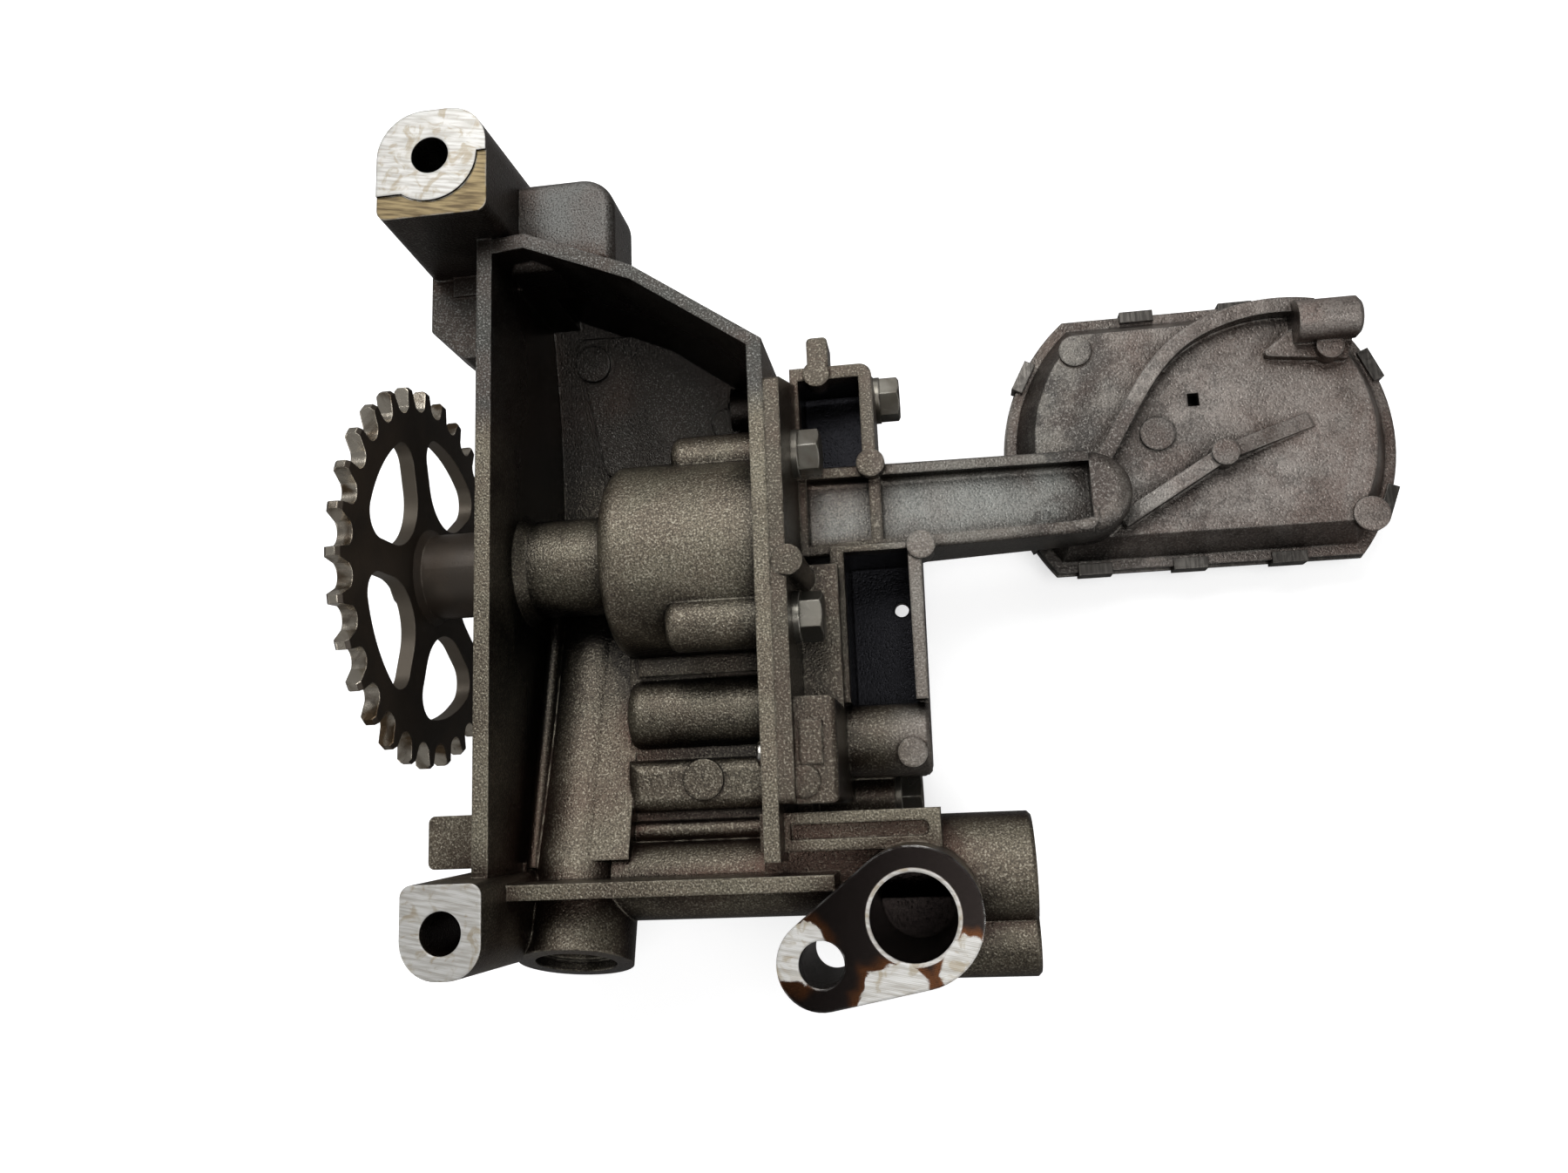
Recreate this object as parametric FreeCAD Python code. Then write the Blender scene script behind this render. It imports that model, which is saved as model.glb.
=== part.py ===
import FreeCAD, Part
import math
import os

# Engine oil pump with chain drive, gerotor, relief valve and suction strainer.
# The origin is the centre of the front mounting hole on the mounting plane.
# X runs along the shaft away from the sprocket, Z points up to the crankcase.
# All lengths are in mm.

V = FreeCAD.Vector

# Length by which a cutting tool runs past the metal
OVERRUN = 1.0

# Mounting holes
MOUNT_HOLE_RADIUS = 4.4
REAR_HOLE_X = -5.0
REAR_HOLE_Y = 170.2

# Rotor axis
SHAFT_Y = 81.2
SHAFT_Z = -40.0

# Chain sprocket
CHAIN_PITCH = 9.525
SPROCKET_TEETH = 29
ROLLER_SEAT_RADIUS = 3.3
TOOTH_SEAT_HALF_ANGLE = 53.0
TOOTH_FLANK_ANGLE = 19.0
SPROCKET_TIP_RADIUS = 46.65
SPROCKET_FACE_X = -20.5
SPROCKET_WIDTH = 3.6
TOOTH_CHAMFER = 0.8
FIRST_TOOTH_ANGLE = -3.6
WINDOW_COUNT = 5
WINDOW_OUTER_RADIUS = 35.0
SPOKE_WIDTH = 7.6
WINDOW_CORNER_RADIUS = 5.5
WINDOW_INNER_RADIUS = 12.0
HUB_WALL = 3.4
HUB_END_GAP = 0.5
HUB_BEVEL = 0.6
HUB_COLLAR = 1.4

# Shaft, nut and bushes
SHAFT_RADIUS = 7.0
HUB_RADIUS = SHAFT_RADIUS + HUB_WALL
SHAFT_FLAT = SHAFT_RADIUS - 0.8
FLAT_CLEARANCE = 0.03
RUNNING_CLEARANCE = 0.03
PRESS_CLEARANCE = 0.01
NUT_ACROSS_FLATS = 13.0
NUT_HEIGHT = 4.0
NUT_WASHER_RADIUS = 8.0
NUT_WASHER_THICKNESS = 1.2
SHAFT_THREAD_RADIUS = 4.0
SHAFT_THREAD_STICKOUT = 0.8
SHAFT_THREAD_BEVEL = 0.8
NUT_WASHER_CLEARANCE = 0.2
NUT_TURN = 12.0
DRIVE_END_INSET = 0.4
SOLID_OVERLAP = 0.01
BUSH_WALL = 1.5
BUSH_LENGTH = 10.0
OUTER_BUSH_INSET = 0.3
INNER_BUSH_TO_ROTOR = 1.0

# Gerotor set
INNER_LOBES = 6
ROTOR_ECCENTRICITY = 1.6
ROTOR_PIN_CIRCLE = 15.9
ROTOR_PIN_RADIUS = 4.6
ROTOR_PLAY = 0.08
ROTOR_LENGTH = 30.0
ROTOR_END_PLAY = 0.04
OUTER_ROTOR_RADIUS = 17.6
ROTOR_CURVE_POINTS = 120

# Body casting
JOINT_X = 67.2
RIM_Z = -13.0
WALL_TOP_Y = REAR_HOLE_Y - 13.2
LEFT_WALL_X = 1.0
LEFT_WALL = 3.6
WALL_PAD = 1.6
WALL_PAD_Y = (24.0, 134.0)
WALL_PAD_Z = (-24.0, -62.0)
WALL_PAD_CORNER = 6.0
WALL = 3.2
UPPER_WALL_DROP = WALL * 1.1
JOINT_WALL = 3.4
JOINT_TOP_Y = 124.6
JOINT_BOTTOM_Y = 19.0
JOINT_FOOT = 8.0
JOINT_BACK_Z = -70.0
JOINT_CORNER_RADII = (0, 0, 3, 8, 8, 3)
LOWER_WALL_Y = 5.0
LOWER_WALL_END_X = 78.0
UPPER_WALL_POINTS = ((4.7, REAR_HOLE_Y - 15.2), (12.2, REAR_HOLE_Y - 14.5),
                     (37.5, REAR_HOLE_Y - 24.9), (JOINT_X, JOINT_TOP_Y))
LEFT_WALL_BACK = ((LOWER_WALL_Y, -48.0), (45.0, -61.0), (98.0, -70.0), (WALL_TOP_Y, -60.0))
WEB_THICKNESS = 4.5
WEB_TOP = ((WALL_TOP_Y + 1.0, -54.5), (98.0, -65.5), (LOWER_WALL_Y + 1.0, -41.0))
WALL_BACK_Z = -62.0
LOWER_WALL_BACK_Z = -46.0
FRAME_BACK_Z = -80.0
PANEL_STEP = 2.2
PANEL_CORNER = 3.0
PANEL_POINTS = ((10.5, 147.0), (17.0, 110.5), (64.0, 109.5), (64.0, 128.0), (38.0, 146.0))
HOUSING_WALL = 5.6
HOUSING_RADIUS = OUTER_ROTOR_RADIUS + HOUSING_WALL
HOUSING_START_X = 27.0
HOUSING_EDGE_RADIUS = 4.0
SNOUT_WALL = 3.3
SNOUT_RADIUS = SHAFT_RADIUS + BUSH_WALL + SNOUT_WALL
SNOUT_FLARE_RADIUS = SNOUT_RADIUS + 1.8
SNOUT_FLARE_LENGTH = 2.5

# Mounting bosses on the mounting plane; the rear ones are given from their hole
REAR_BOSS = ((-12.7, -14.5), (13.2, -14.5), (13.2, 11.2), (-12.7, 11.2))
FRONT_BOSS = ((-8.7, -9.2), (8.5, -9.2), (8.5, 9.6), (-8.7, 9.6))
REAR_BOSS_RADII = (2.5, 2.5, 9.0, 11.0)
FRONT_BOSS_RADII = (8.0, 7.0, 2.5, 2.5)
BOSS_DEPTH = 36.0
BOSS_DRAFT = 0.8
MACHINED_STEP = 0.6
MACHINED_LIP_REACH = 2.4
MACHINED_DISC_RADIUS = 11.0
BUMP = ((11.0, -20.2), (36.8, -20.2), (36.8, 2.3), (11.0, 2.3))
BUMP_RADIUS = 8.0
BUMP_TOP_Z = -20.0
BUMP_BACK_Z = -37.0
BUMP_EDGE_RADIUS = 2.5
UPPER_LUG = ((-13.0, -28.7), (-4.5, -36.2), (8.0, -36.2), (8.0, -12.2), (-13.0, -12.2))
LOWER_LUG = ((-16.8, 11.2), (3.0, 11.2), (3.0, 23.2), (-16.8, 23.2))
LUG_TOP_Z = -31.0
LUG_BACK_Z = -52.0
LUG_RADIUS = 1.6
REAR_ROOT = ((-7.0, 17.0), (-20.2, 1.8), (-58.0, -30.0))
FRONT_FOOT = ((-6.0, 12.0), (-4.0, 12.0), (-50.0, -34.0))

# Oil outlet flange
OUTLET_X = 94.0
OUTLET_Y = 0.6
OUTLET_RADIUS = 8.4
OUTLET_FLANGE_RADIUS = OUTLET_RADIUS + 5.0
OUTLET_BOLT_X = 76.1
OUTLET_BOLT_Y = -7.6
OUTLET_EAR_RADIUS = MOUNT_HOLE_RADIUS + 4.3
OUTLET_FLANGE_DEPTH = 30.0
OUTLET_SUMP = 2.0

# Pressure gallery, closed by a cup plug at its open end
GALLERY_Y = 6.8
GALLERY_Z = -40.0
GALLERY_BORE = 6.0
GALLERY_RADIUS = GALLERY_BORE + 2.8
GALLERY_START_X = 26.0
GALLERY_END_X = OUTLET_X + 25.5
PLUG_RADIUS = 8.0
GALLERY_HEAD_RADIUS = PLUG_RADIUS + 4.5
GALLERY_HEAD_START_X = OUTLET_X - 10.0
GALLERY_BEVEL = 0.8
SIDE_BOSS_Y = -8.0
SIDE_BOSS_RADIUS = 8.0
SIDE_BOSS_START_X = 92.0
SIDE_BOSS_HOLE = 3.4
SIDE_BOSS_HOLE_DEPTH = 14.0
PLUG_DEPTH = 7.0
PLUG_WALL = 1.5
PLUG_RECESS = 1.5
SLOT_BLOCK = (62.0, 100.0, 12.8, 20.8)
SLOT_BLOCK_TOP_Z = -20.0
SLOT_RIM = 2.4
SLOT_DEPTH = 3.0
SLOT_CORNER = 1.4
GALLERY_SHELF_Z = -25.0

# Discharge duct between the rotor chamber and the gallery
DUCT_X = (44.0, 55.0)
DUCT_Z = (-54.0, -45.0)
DUCT_PORT_OVERLAP = 4.0
PORT_DEPTH = 5.0
PORT_OUTER_LAND = 0.4
PORT_INNER_LAND = 2.2
PORT_BRIDGE = 4.5
DUCT_RIDGE_Y = 44.6
DUCT_RIDGE_RADIUS = 8.6
DUCT_RIDGE_Z = -42.5
DUCT_LINK_TOP_Z = -39.5
PAD_RIDGE_Y = (22.0, 34.0)
PAD_RIDGE_TOP_Z = -35.0
LOW_RIDGE_Y = 17.8
LOW_RIDGE_RADIUS = 2.4
LOW_RIDGE_EDGE_RADIUS = 1.6
STEP_LEDGE_Y = (53.6, 57.6)
STEP_LEDGE_TOP_Z = -38.2
RIDGE_START_X = 29.0
RIDGE_EDGE_RADIUS = 3.2
DUCT_LINK_TOP_Y = 64.5
DUCT_BACK_Z = DUCT_Z[0] - 5.0

# Relief valve, in a tube that leans down from its mouth below the front boss.
# Its pieces are drawn along Y, level with the mouth, and tilted together.
VALVE_X = 16.5
VALVE_Z = -36.0
VALVE_TILT = 19.0
VALVE_BORE = 8.0
VALVE_TUBE_RADIUS = VALVE_BORE + 5.0
VALVE_TUBE_END_Y = -10.5
VALVE_TUBE_TOP_Y = 76.0
VALVE_SADDLE_START = 1.0
VALVE_SADDLE_END = 2.0
VALVE_SADDLE_DROP = 1.0
VALVE_BEAD_X = 7.4
VALVE_BEAD_ENDS = ((10.5, -33.5), (71.0, -51.0))
VALVE_BEAD_RADIUS = 1.7
VALVE_BEAD_WEB = 2.8
VALVE_BEAD_DEPTH = 8.0
VALVE_SADDLE_OVERLAP = 1.2
VALVE_BORE_TOP_Y = 54.0
VALVE_MOUTH_RADIUS = VALVE_BORE + 1.2
VALVE_MOUTH_DEPTH = 2.5
VALVE_FEED_RADIUS = 2.5
SPILL_WIDTH = 9.0
SPILL_LENGTH = 6.0
SPILL_DEPTH = 40.0
SPILL_OPENS_AFTER = 4.0
PISTON_LENGTH = 18.0
PISTON_WALL = 2.0
PISTON_CROWN = 3.0
PISTON_FIT = 0.02
PISTON_GROOVE_PLACE = 7.0
PISTON_GROOVE_DEPTH = 0.5
PISTON_GROOVE_WIDTH = 1.0
PISTON_NOSE_RADIUS = VALVE_BORE - 3.0
PISTON_NOSE_LENGTH = 2.5
SLEEVE_LENGTH = 26.0
SLEEVE_FLOOR = 3.0
SLEEVE_VENT_RADIUS = 2.0
SEAL_GROOVE_PLACE = 5.0
O_RING_WIRE = 0.9
O_RING_SIDES = 8
SEAL_SQUEEZE_ROOM = 0.1
SEAL_PLAY = 0.07
CIRCLIP_THICKNESS = 1.2
CIRCLIP_WIDTH = 2.2
CIRCLIP_GROOVE = 0.9
CIRCLIP_SIDE_PLAY = 0.1
CIRCLIP_PLACE = 1.5
CIRCLIP_EAR_RADIUS = 1.7
CIRCLIP_EAR_SPACING = 2.4
CIRCLIP_EAR_DROP = 3.2
CIRCLIP_EYE_RADIUS = 0.7
CIRCLIP_OPENING = 1.4
SPRING_WIRE = 1.0
SPRING_PLAY = 0.7
SPRING_RADIUS = VALVE_BORE - PISTON_WALL - SPRING_PLAY - SPRING_WIRE
SPRING_TURNS = 6.0
SPRING_SIDES = 6
SEAT_GAP = 0.02

# Pump cover flange and its ribbed boxes
FLANGE_THICKNESS = 3.5
FLANGE_TOP_Y = 115.3
FLANGE_BOTTOM_Y = 22.6
FLANGE_SHOULDER = 9.0
FLANGE_FOOT = 5.0
FLANGE_CORNER_RADII = (1.5, 1.5, 4, 4, 8, 8, 4, 2, 2)
COVER_RIM_Z = -42.0
UPPER_BOX_RIGHT_X = JOINT_X + 22.6
UPPER_BOX_TOP_Y = 127.8
UPPER_BOX_BOTTOM_Y = 100.0
UPPER_BOX_WALL = 3.2
UPPER_BOX_BACK_Z = -60.0
UPPER_BOX_FLOOR = 3.0
POST_X = (JOINT_X + 7.0, JOINT_X + 12.2)
POST_CORNER = 1.2
POST_TOP_Y = 135.4
POST_BACK_Z = -50.0
LOWER_BLOCK_RIGHT_X = JOINT_X + 12.4
LOWER_BLOCK_EDGE_RADIUS = 1.5
LOWER_BLOCK_FRONT_Z = -16.0
LOWER_BLOCK_STEP_Y = 45.0
LOWER_BLOCK_DEEP_Z = -37.0
LOWER_BLOCK_TOP_Y = 77.4
LOWER_BOX_RIGHT_X = JOINT_X + 32.0
LOWER_BOX_TAPER = 0.6
BOX_CORNER = 3.0
LOWER_BOX_BOTTOM_Y = 28.2
LOWER_BOX_TOP_Y = 82.5
LOWER_BOX_WALL = 3.2
LOWER_BOX_INNER_WALL = 1.2
LOWER_BOX_BACK_Z = -68.0
LOWER_BOSS_TOP_Y = 45.4
LOWER_BOSS_RADIUS = 8.6
LOWER_BOSS_BEVEL = 0.8
VENT_X = JOINT_X + 25.9
VENT_Y = 70.0
VENT_RADIUS = 1.8
STEP_PAD = (JOINT_X + 4.6, JOINT_X + 9.4, 30.7, 39.8)
STEP_PAD_HEIGHT = 1.0

# Suction arm, a closed tube with a ribbed channel on its upper side
ARM_START = (91.2, -42.0)
ARM_END_X = JOINT_X + 73.4
ARM_END = (94.2, -51.0)
ARM_WIDTH = 22.4
ARM_END_WIDTH = 20.4
ARM_DEPTH = 21.0
ARM_END_DEPTH = 17.0
ARM_RIB = 2.8
ARM_TIP = (12.0, 8.0, 6.0)
ARM_CHANNEL_DEPTH = 4.5
ARM_DIVIDER_X = (JOINT_X + 20.4, JOINT_X + 23.2)
ARM_CHANNEL_START = 2.0
ARM_CHANNEL_CORNER = 1.6
ARM_CORNER = 1.2
ARM_NOSE_EDGE_RADIUS = 4.0
ARM_PASSAGE_WIDTH = 13.0
ARM_PASSAGE_HEIGHT = 8.5
ARM_PASSAGE_DROP = 8.0

# Suction bell
BELL_X = ARM_END_X + 30.4
BELL_Y = 109.2
BELL_RADIUS = 48.4
BELL_LOW_Y = 78.4
BELL_HIGH_Y = 146.2
BELL_RIM_Z = -76.0
BELL_LEDGE = 2.4
BELL_LEDGE_WIDTH = 2.6
BELL_BEVEL = 4.4
BELL_TOP_Z = -65.5
BELL_WALL = 2.6
BELL_RIB_WIDTH = 3.8
BELL_RIB_Z = -61.5
CURVED_RIB = ((-25.5, -4.7), (-13.8, 14.1), (-5.7, 23.3), (5.0, 29.2), (29.0, 30.8))
CURVED_RIB_STATIONS = 8
STRAIGHT_RIB = ((-22.0, -20.7), (4.0, -5.4), (26.0, 2.4))
STRAIGHT_RIB_FALL = 3.4
BRACKET_LUG_X = (BELL_X + 23.5, BELL_X + 38.8)
BRACKET_LUG_Y = BELL_Y + 26.4
BRACKET_WEB = ((15.0, 19.3), (36.0, 16.8), (38.5, 24.8), (25.0, 26.8))
BRACKET_WEB_DROP = 2.5
BRACKET_ROOT = 2.0
BRACKET_FOOT_INSETS = (1.0, 1.5, 0.4)
BRACKET_LUG_Z = -60.5
BRACKET_LUG_RADIUS = 5.2
BRACKET_LUG_BEVEL = 1.0
SIGHT_HOLE = ((-2.8, 0.0), (8.4, 11.8))

# Round ejector pads: x, y, radius and top z of each
CASTING_PADS = (
    (JOINT_X + 9.2, 126.0, 3.3, -41.4),
    (JOINT_X + 21.2, 102.4, 3.4, -41.4),
    (JOINT_X + 32.0, 81.6, 3.4, -41.4),
    (JOINT_X + 27.3, 33.2, 3.4, -40.4),
    (JOINT_X + 3.8, 74.0, 3.35, -12.6),
    (JOINT_X + 5.2, 27.2, 3.4, -15.2),
    (JOINT_X + 71.4, 87.6, 3.3, -50.4),
)
# The same for the pads on the bell, with x and y from its centre
BELL_PADS = (
    (4.0, -5.4, 3.3, -60.8),
    (31.6, 19.8, 3.3, -60.8),
    (-29.5, 25.6, 4.1, -64.7),
    (-11.0, 1.8, 4.3, -64.7),
    (37.4, -22.6, 4.3, -64.7),
)
BODY_PADS = ((15.5, 140.0, 4.6), (50.5, 121.5, 4.0))
PAD_ROOT = 6.0
PAD_RIM_ROOT = 4.0
BODY_PAD_HEIGHT = 1.2
RIDGE_PAD_RADIUS = 4.6
RIDGE_PAD_HEIGHT = 0.8
RIDGE_PAD_ROOT = 2.0
RIDGE_PAD_SHIFT = (-1.0, 1.0)

# Strainer plate and screen
SHEET = 1.0
SCREEN_SHEET = 0.6
PLATE_OVERHANG = 0.4
TAB_GAP = 0.1
TAB_LIP = 1.8
TAB_LENGTH = 8.5
LOW_TABS = (-28.2, -4.6, 19.4)
HIGH_TABS = (-12.0, 13.2)
ROUND_TABS = (152.0, 205.0, -22.0, 22.0)
SCREEN_OPENING_MARGIN = 8.0
SCREEN_INSET = 0.3
SCREEN_PITCH = 9.0
SCREEN_HOLE = 6.6
CROSS_BAR = 5.0

# Fasteners
BOLT_RADIUS = 3.0
BOLT_HOLE_RADIUS = 3.3
TAPPED_HOLE_RADIUS = 3.02
BOLT_HEAD_ACROSS_FLATS = 10.0
BOLT_HEAD_HEIGHT = 5.0
HEAD_BEVEL_SHARE = 0.97
BOLT_END_BEVEL = 0.6
WASHER_RADIUS = 6.0
WASHER_THICKNESS = 1.6
THREAD_DEPTH = 14.0
HOLE_SPARE_DEPTH = 1.5
HEAD_ROOM = 8.2
BOX_HEAD_ROOM = 12.0
WASHER_ROOM = 1.0
HIDDEN_BOLT_ROOM = 20.0
COVER_BOLT_TO_ROTOR = 5.5
COVER_BOLT_CIRCLE = OUTER_ROTOR_RADIUS + COVER_BOLT_TO_ROTOR
COVER_BOLT_ANGLES = (77.5, -50.8, -158.0)
COVER_BOLT_TURNS = (6.0, 30.0, 14.0)
BOX_BOLT_Z = -63.0
BOX_BOLT_YS = (125.2, 23.4)
BOX_BOLT_SEAT_X = JOINT_X + 22.0
SCREW_BOSS_RADIUS = 6.2
SCREW_BOSS_EDGE_RADIUS = 2.5
SCREW_BOSS_START_X = 42.0
BOX_BOSS_RADIUS = 6.3
BOX_BOSS_START_X = 52.0
DOWEL_RADIUS = 3.0
DOWEL_BODY_DEPTH = 9.0
DOWEL_COVER_DEPTH = 2.5
DOWEL_END_GAP = 0.2
DOWEL_LENGTH = 9.3
DOWEL_BEVEL = 0.5
SUCTION_PORT_DEPTH = 2.2
DOWEL_POINTS = ((112.0, -62.0), (34.0, -32.0))


def box(x, y, z):
    """Block between the two values given for each axis."""
    sizes = [abs(pair[1] - pair[0]) for pair in (x, y, z)]
    return Part.makeBox(sizes[0], sizes[1], sizes[2], V(min(x), min(y), min(z)))


def rod_x(y, z, start, end, radius):
    """Round bar along X."""
    return Part.makeCylinder(radius, end - start, V(start, y, z), V(1, 0, 0))


def rod_y(x, z, start, end, radius):
    """Round bar along Y."""
    return Part.makeCylinder(radius, end - start, V(x, start, z), V(0, 1, 0))


def rod_z(x, y, start, end, radius):
    """Round bar along Z."""
    return Part.makeCylinder(radius, end - start, V(x, y, start), V(0, 0, 1))


def fuse(shapes):
    """One solid out of several that overlap."""
    joined = shapes[0].multiFuse(shapes[1:])
    return joined.removeSplitter()


def cut(shape, tools):
    """The shape with every tool taken away."""
    return shape.cut(Part.makeCompound(tools))


def rounded_wire(points, radii):
    """Closed outline through the corner points, each corner with its own radius."""
    edges = []
    count = len(points)
    ends = []
    for i in range(count):
        corner = points[i]
        back = (points[i - 1] - corner).normalize()
        ahead = (points[(i + 1) % count] - corner).normalize()
        radius = radii[i]
        if radius <= 0:
            ends.append((corner, corner))
            continue
        half = back.getAngle(ahead) / 2
        reach = radius / math.tan(half)
        middle = (back + ahead).normalize()
        start = corner + back * reach
        end = corner + ahead * reach
        crown = corner + middle * (radius / math.sin(half) - radius)
        ends.append((start, end))
        edges.append(Part.Arc(start, crown, end).toShape())
    for i in range(count):
        start = ends[i - 1][1]
        end = ends[i][0]
        if start.distanceToPoint(end) > 1e-6:
            edges.append(Part.makeLine(start, end))
    return Part.Wire(Part.__sortEdges__(edges))


def prism_z(points, radii, z0, z1):
    """Upright prism on a rounded outline given as x, y pairs."""
    corners = [V(x, y, z0) for x, y in points]
    face = Part.Face(rounded_wire(corners, radii))
    return face.extrude(V(0, 0, z1 - z0))


def grown(points, amount):
    """Four corners of a rectangle moved outwards by the amount."""
    xs = [p[0] for p in points]
    ys = [p[1] for p in points]
    middle_x = (min(xs) + max(xs)) / 2
    middle_y = (min(ys) + max(ys)) / 2
    result = []
    for x, y in points:
        result.append((x + math.copysign(amount, x - middle_x),
                       y + math.copysign(amount, y - middle_y)))
    return result


def drafted_post(points, radii, z0, z1, draft):
    """Cast post that widens by the draft from its top z0 to its foot z1."""
    top = rounded_wire([V(x, y, z0) for x, y in points], radii)
    foot = rounded_wire([V(x, y, z1) for x, y in grown(points, draft)], radii)
    return Part.makeLoft([top, foot], True, True)


def soften(shape, radius, chosen):
    """Round the edges for which the test function says yes."""
    edges = [edge for edge in shape.Edges if chosen(edge)]
    return shape.makeFillet(radius, edges)


def bevel(shape, size, chosen):
    """Chamfer the edges for which the test function says yes."""
    edges = [edge for edge in shape.Edges if chosen(edge)]
    return shape.makeChamfer(size, edges)


def at_x(value):
    """Test for edges that lie in one plane across X."""
    def chosen(edge):
        bounds = edge.BoundBox
        return abs(bounds.XMin - value) < 0.01 and abs(bounds.XMax - value) < 0.01
    return chosen


def at_y(value):
    """Test for edges that lie in one plane across Y."""
    def chosen(edge):
        bounds = edge.BoundBox
        return abs(bounds.YMin - value) < 0.01 and abs(bounds.YMax - value) < 0.01
    return chosen


def at_z(value):
    """Test for edges that lie in one plane across Z."""
    def chosen(edge):
        bounds = edge.BoundBox
        return abs(bounds.ZMin - value) < 0.01 and abs(bounds.ZMax - value) < 0.01
    return chosen


def tilted(shape):
    """Copy of a relief valve piece, turned about the middle of the valve mouth."""
    turned = shape.copy()
    turned.rotate(V(VALVE_X, VALVE_TUBE_END_Y, VALVE_Z), V(1, 0, 0), -VALVE_TILT)
    return turned


def hexagon_x(y, z, seat, end, across_flats, turn):
    """Hexagonal head along X from its seat, turned about its axis, with bevelled end."""
    radius = across_flats / math.sqrt(3)
    corners = []
    for k in range(6):
        angle = math.radians(60 * k + turn)
        corners.append(V(seat, y + radius * math.sin(angle), z + radius * math.cos(angle)))
    face = Part.Face(Part.makePolygon(corners + [corners[0]]))
    bar = face.extrude(V(end - seat, 0, 0))
    height = abs(end - seat)
    end_radius = across_flats / 2 * HEAD_BEVEL_SHARE
    cone = Part.makeCone(end_radius + height * math.sqrt(3), end_radius, height,
                         V(seat, y, z), V(end - seat, 0, 0))
    return bar.common(cone)


def on_circle(angle, radius):
    """Y and Z of a point about the shaft axis, the angle from +Z towards +Y."""
    turned = math.radians(angle)
    return SHAFT_Y + radius * math.sin(turned), SHAFT_Z + radius * math.cos(turned)


# Sprocket, hub, nut and shaft

def tooth_points(index):
    """Flank, seat and tip points of one tooth gap in the sprocket's plane."""
    pitch_radius = CHAIN_PITCH / (2 * math.sin(math.pi / SPROCKET_TEETH))
    step = 360.0 / SPROCKET_TEETH
    gap_angle = FIRST_TOOTH_ANGLE + step * (index + 0.5)
    turn = math.radians(gap_angle)
    out = V(0, math.sin(turn), math.cos(turn))
    side = V(0, math.cos(turn), -math.sin(turn))
    centre = V(SPROCKET_FACE_X, SHAFT_Y, SHAFT_Z) + out * pitch_radius
    points = []
    for sign in (-1, 1):
        seat = math.radians(TOOTH_SEAT_HALF_ANGLE)
        seat_end = (centre - out * (ROLLER_SEAT_RADIUS * math.cos(seat))
                    + side * (sign * ROLLER_SEAT_RADIUS * math.sin(seat)))
        lean = math.radians(TOOTH_FLANK_ANGLE)
        run = out * math.cos(lean) + side * (sign * math.sin(lean))
        offset = seat_end - V(SPROCKET_FACE_X, SHAFT_Y, SHAFT_Z)
        along = offset.dot(run)
        reach = -along + math.sqrt(along ** 2 - offset.dot(offset) + SPROCKET_TIP_RADIUS ** 2)
        points.append((seat_end, seat_end + run * reach))
    bottom = centre - out * ROLLER_SEAT_RADIUS
    return points[0], bottom, points[1]


def sprocket_blank():
    """Toothed disc with chamfered tooth ends."""
    edges = []
    hub_centre = V(SPROCKET_FACE_X, SHAFT_Y, SHAFT_Z)
    gaps = [tooth_points(k) for k in range(SPROCKET_TEETH)]
    for k in range(SPROCKET_TEETH):
        before, bottom, after = gaps[k]
        edges.append(Part.makeLine(before[1], before[0]))
        edges.append(Part.Arc(before[0], bottom, after[0]).toShape())
        edges.append(Part.makeLine(after[0], after[1]))
        next_tip = gaps[(k + 1) % SPROCKET_TEETH][0][1]
        middle = (after[1] + next_tip) * 0.5 - hub_centre
        crown = hub_centre + middle.normalize() * SPROCKET_TIP_RADIUS
        edges.append(Part.Arc(after[1], crown, next_tip).toShape())
    face = Part.Face(Part.Wire(Part.__sortEdges__(edges)))
    disc = face.extrude(V(-SPROCKET_WIDTH, 0, 0))
    rim = bevel(rod_x(SHAFT_Y, SHAFT_Z, SPROCKET_FACE_X - SPROCKET_WIDTH, SPROCKET_FACE_X,
                      SPROCKET_TIP_RADIUS), TOOTH_CHAMFER, lambda edge: edge.Length > 100)
    return disc.common(rim)


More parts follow.
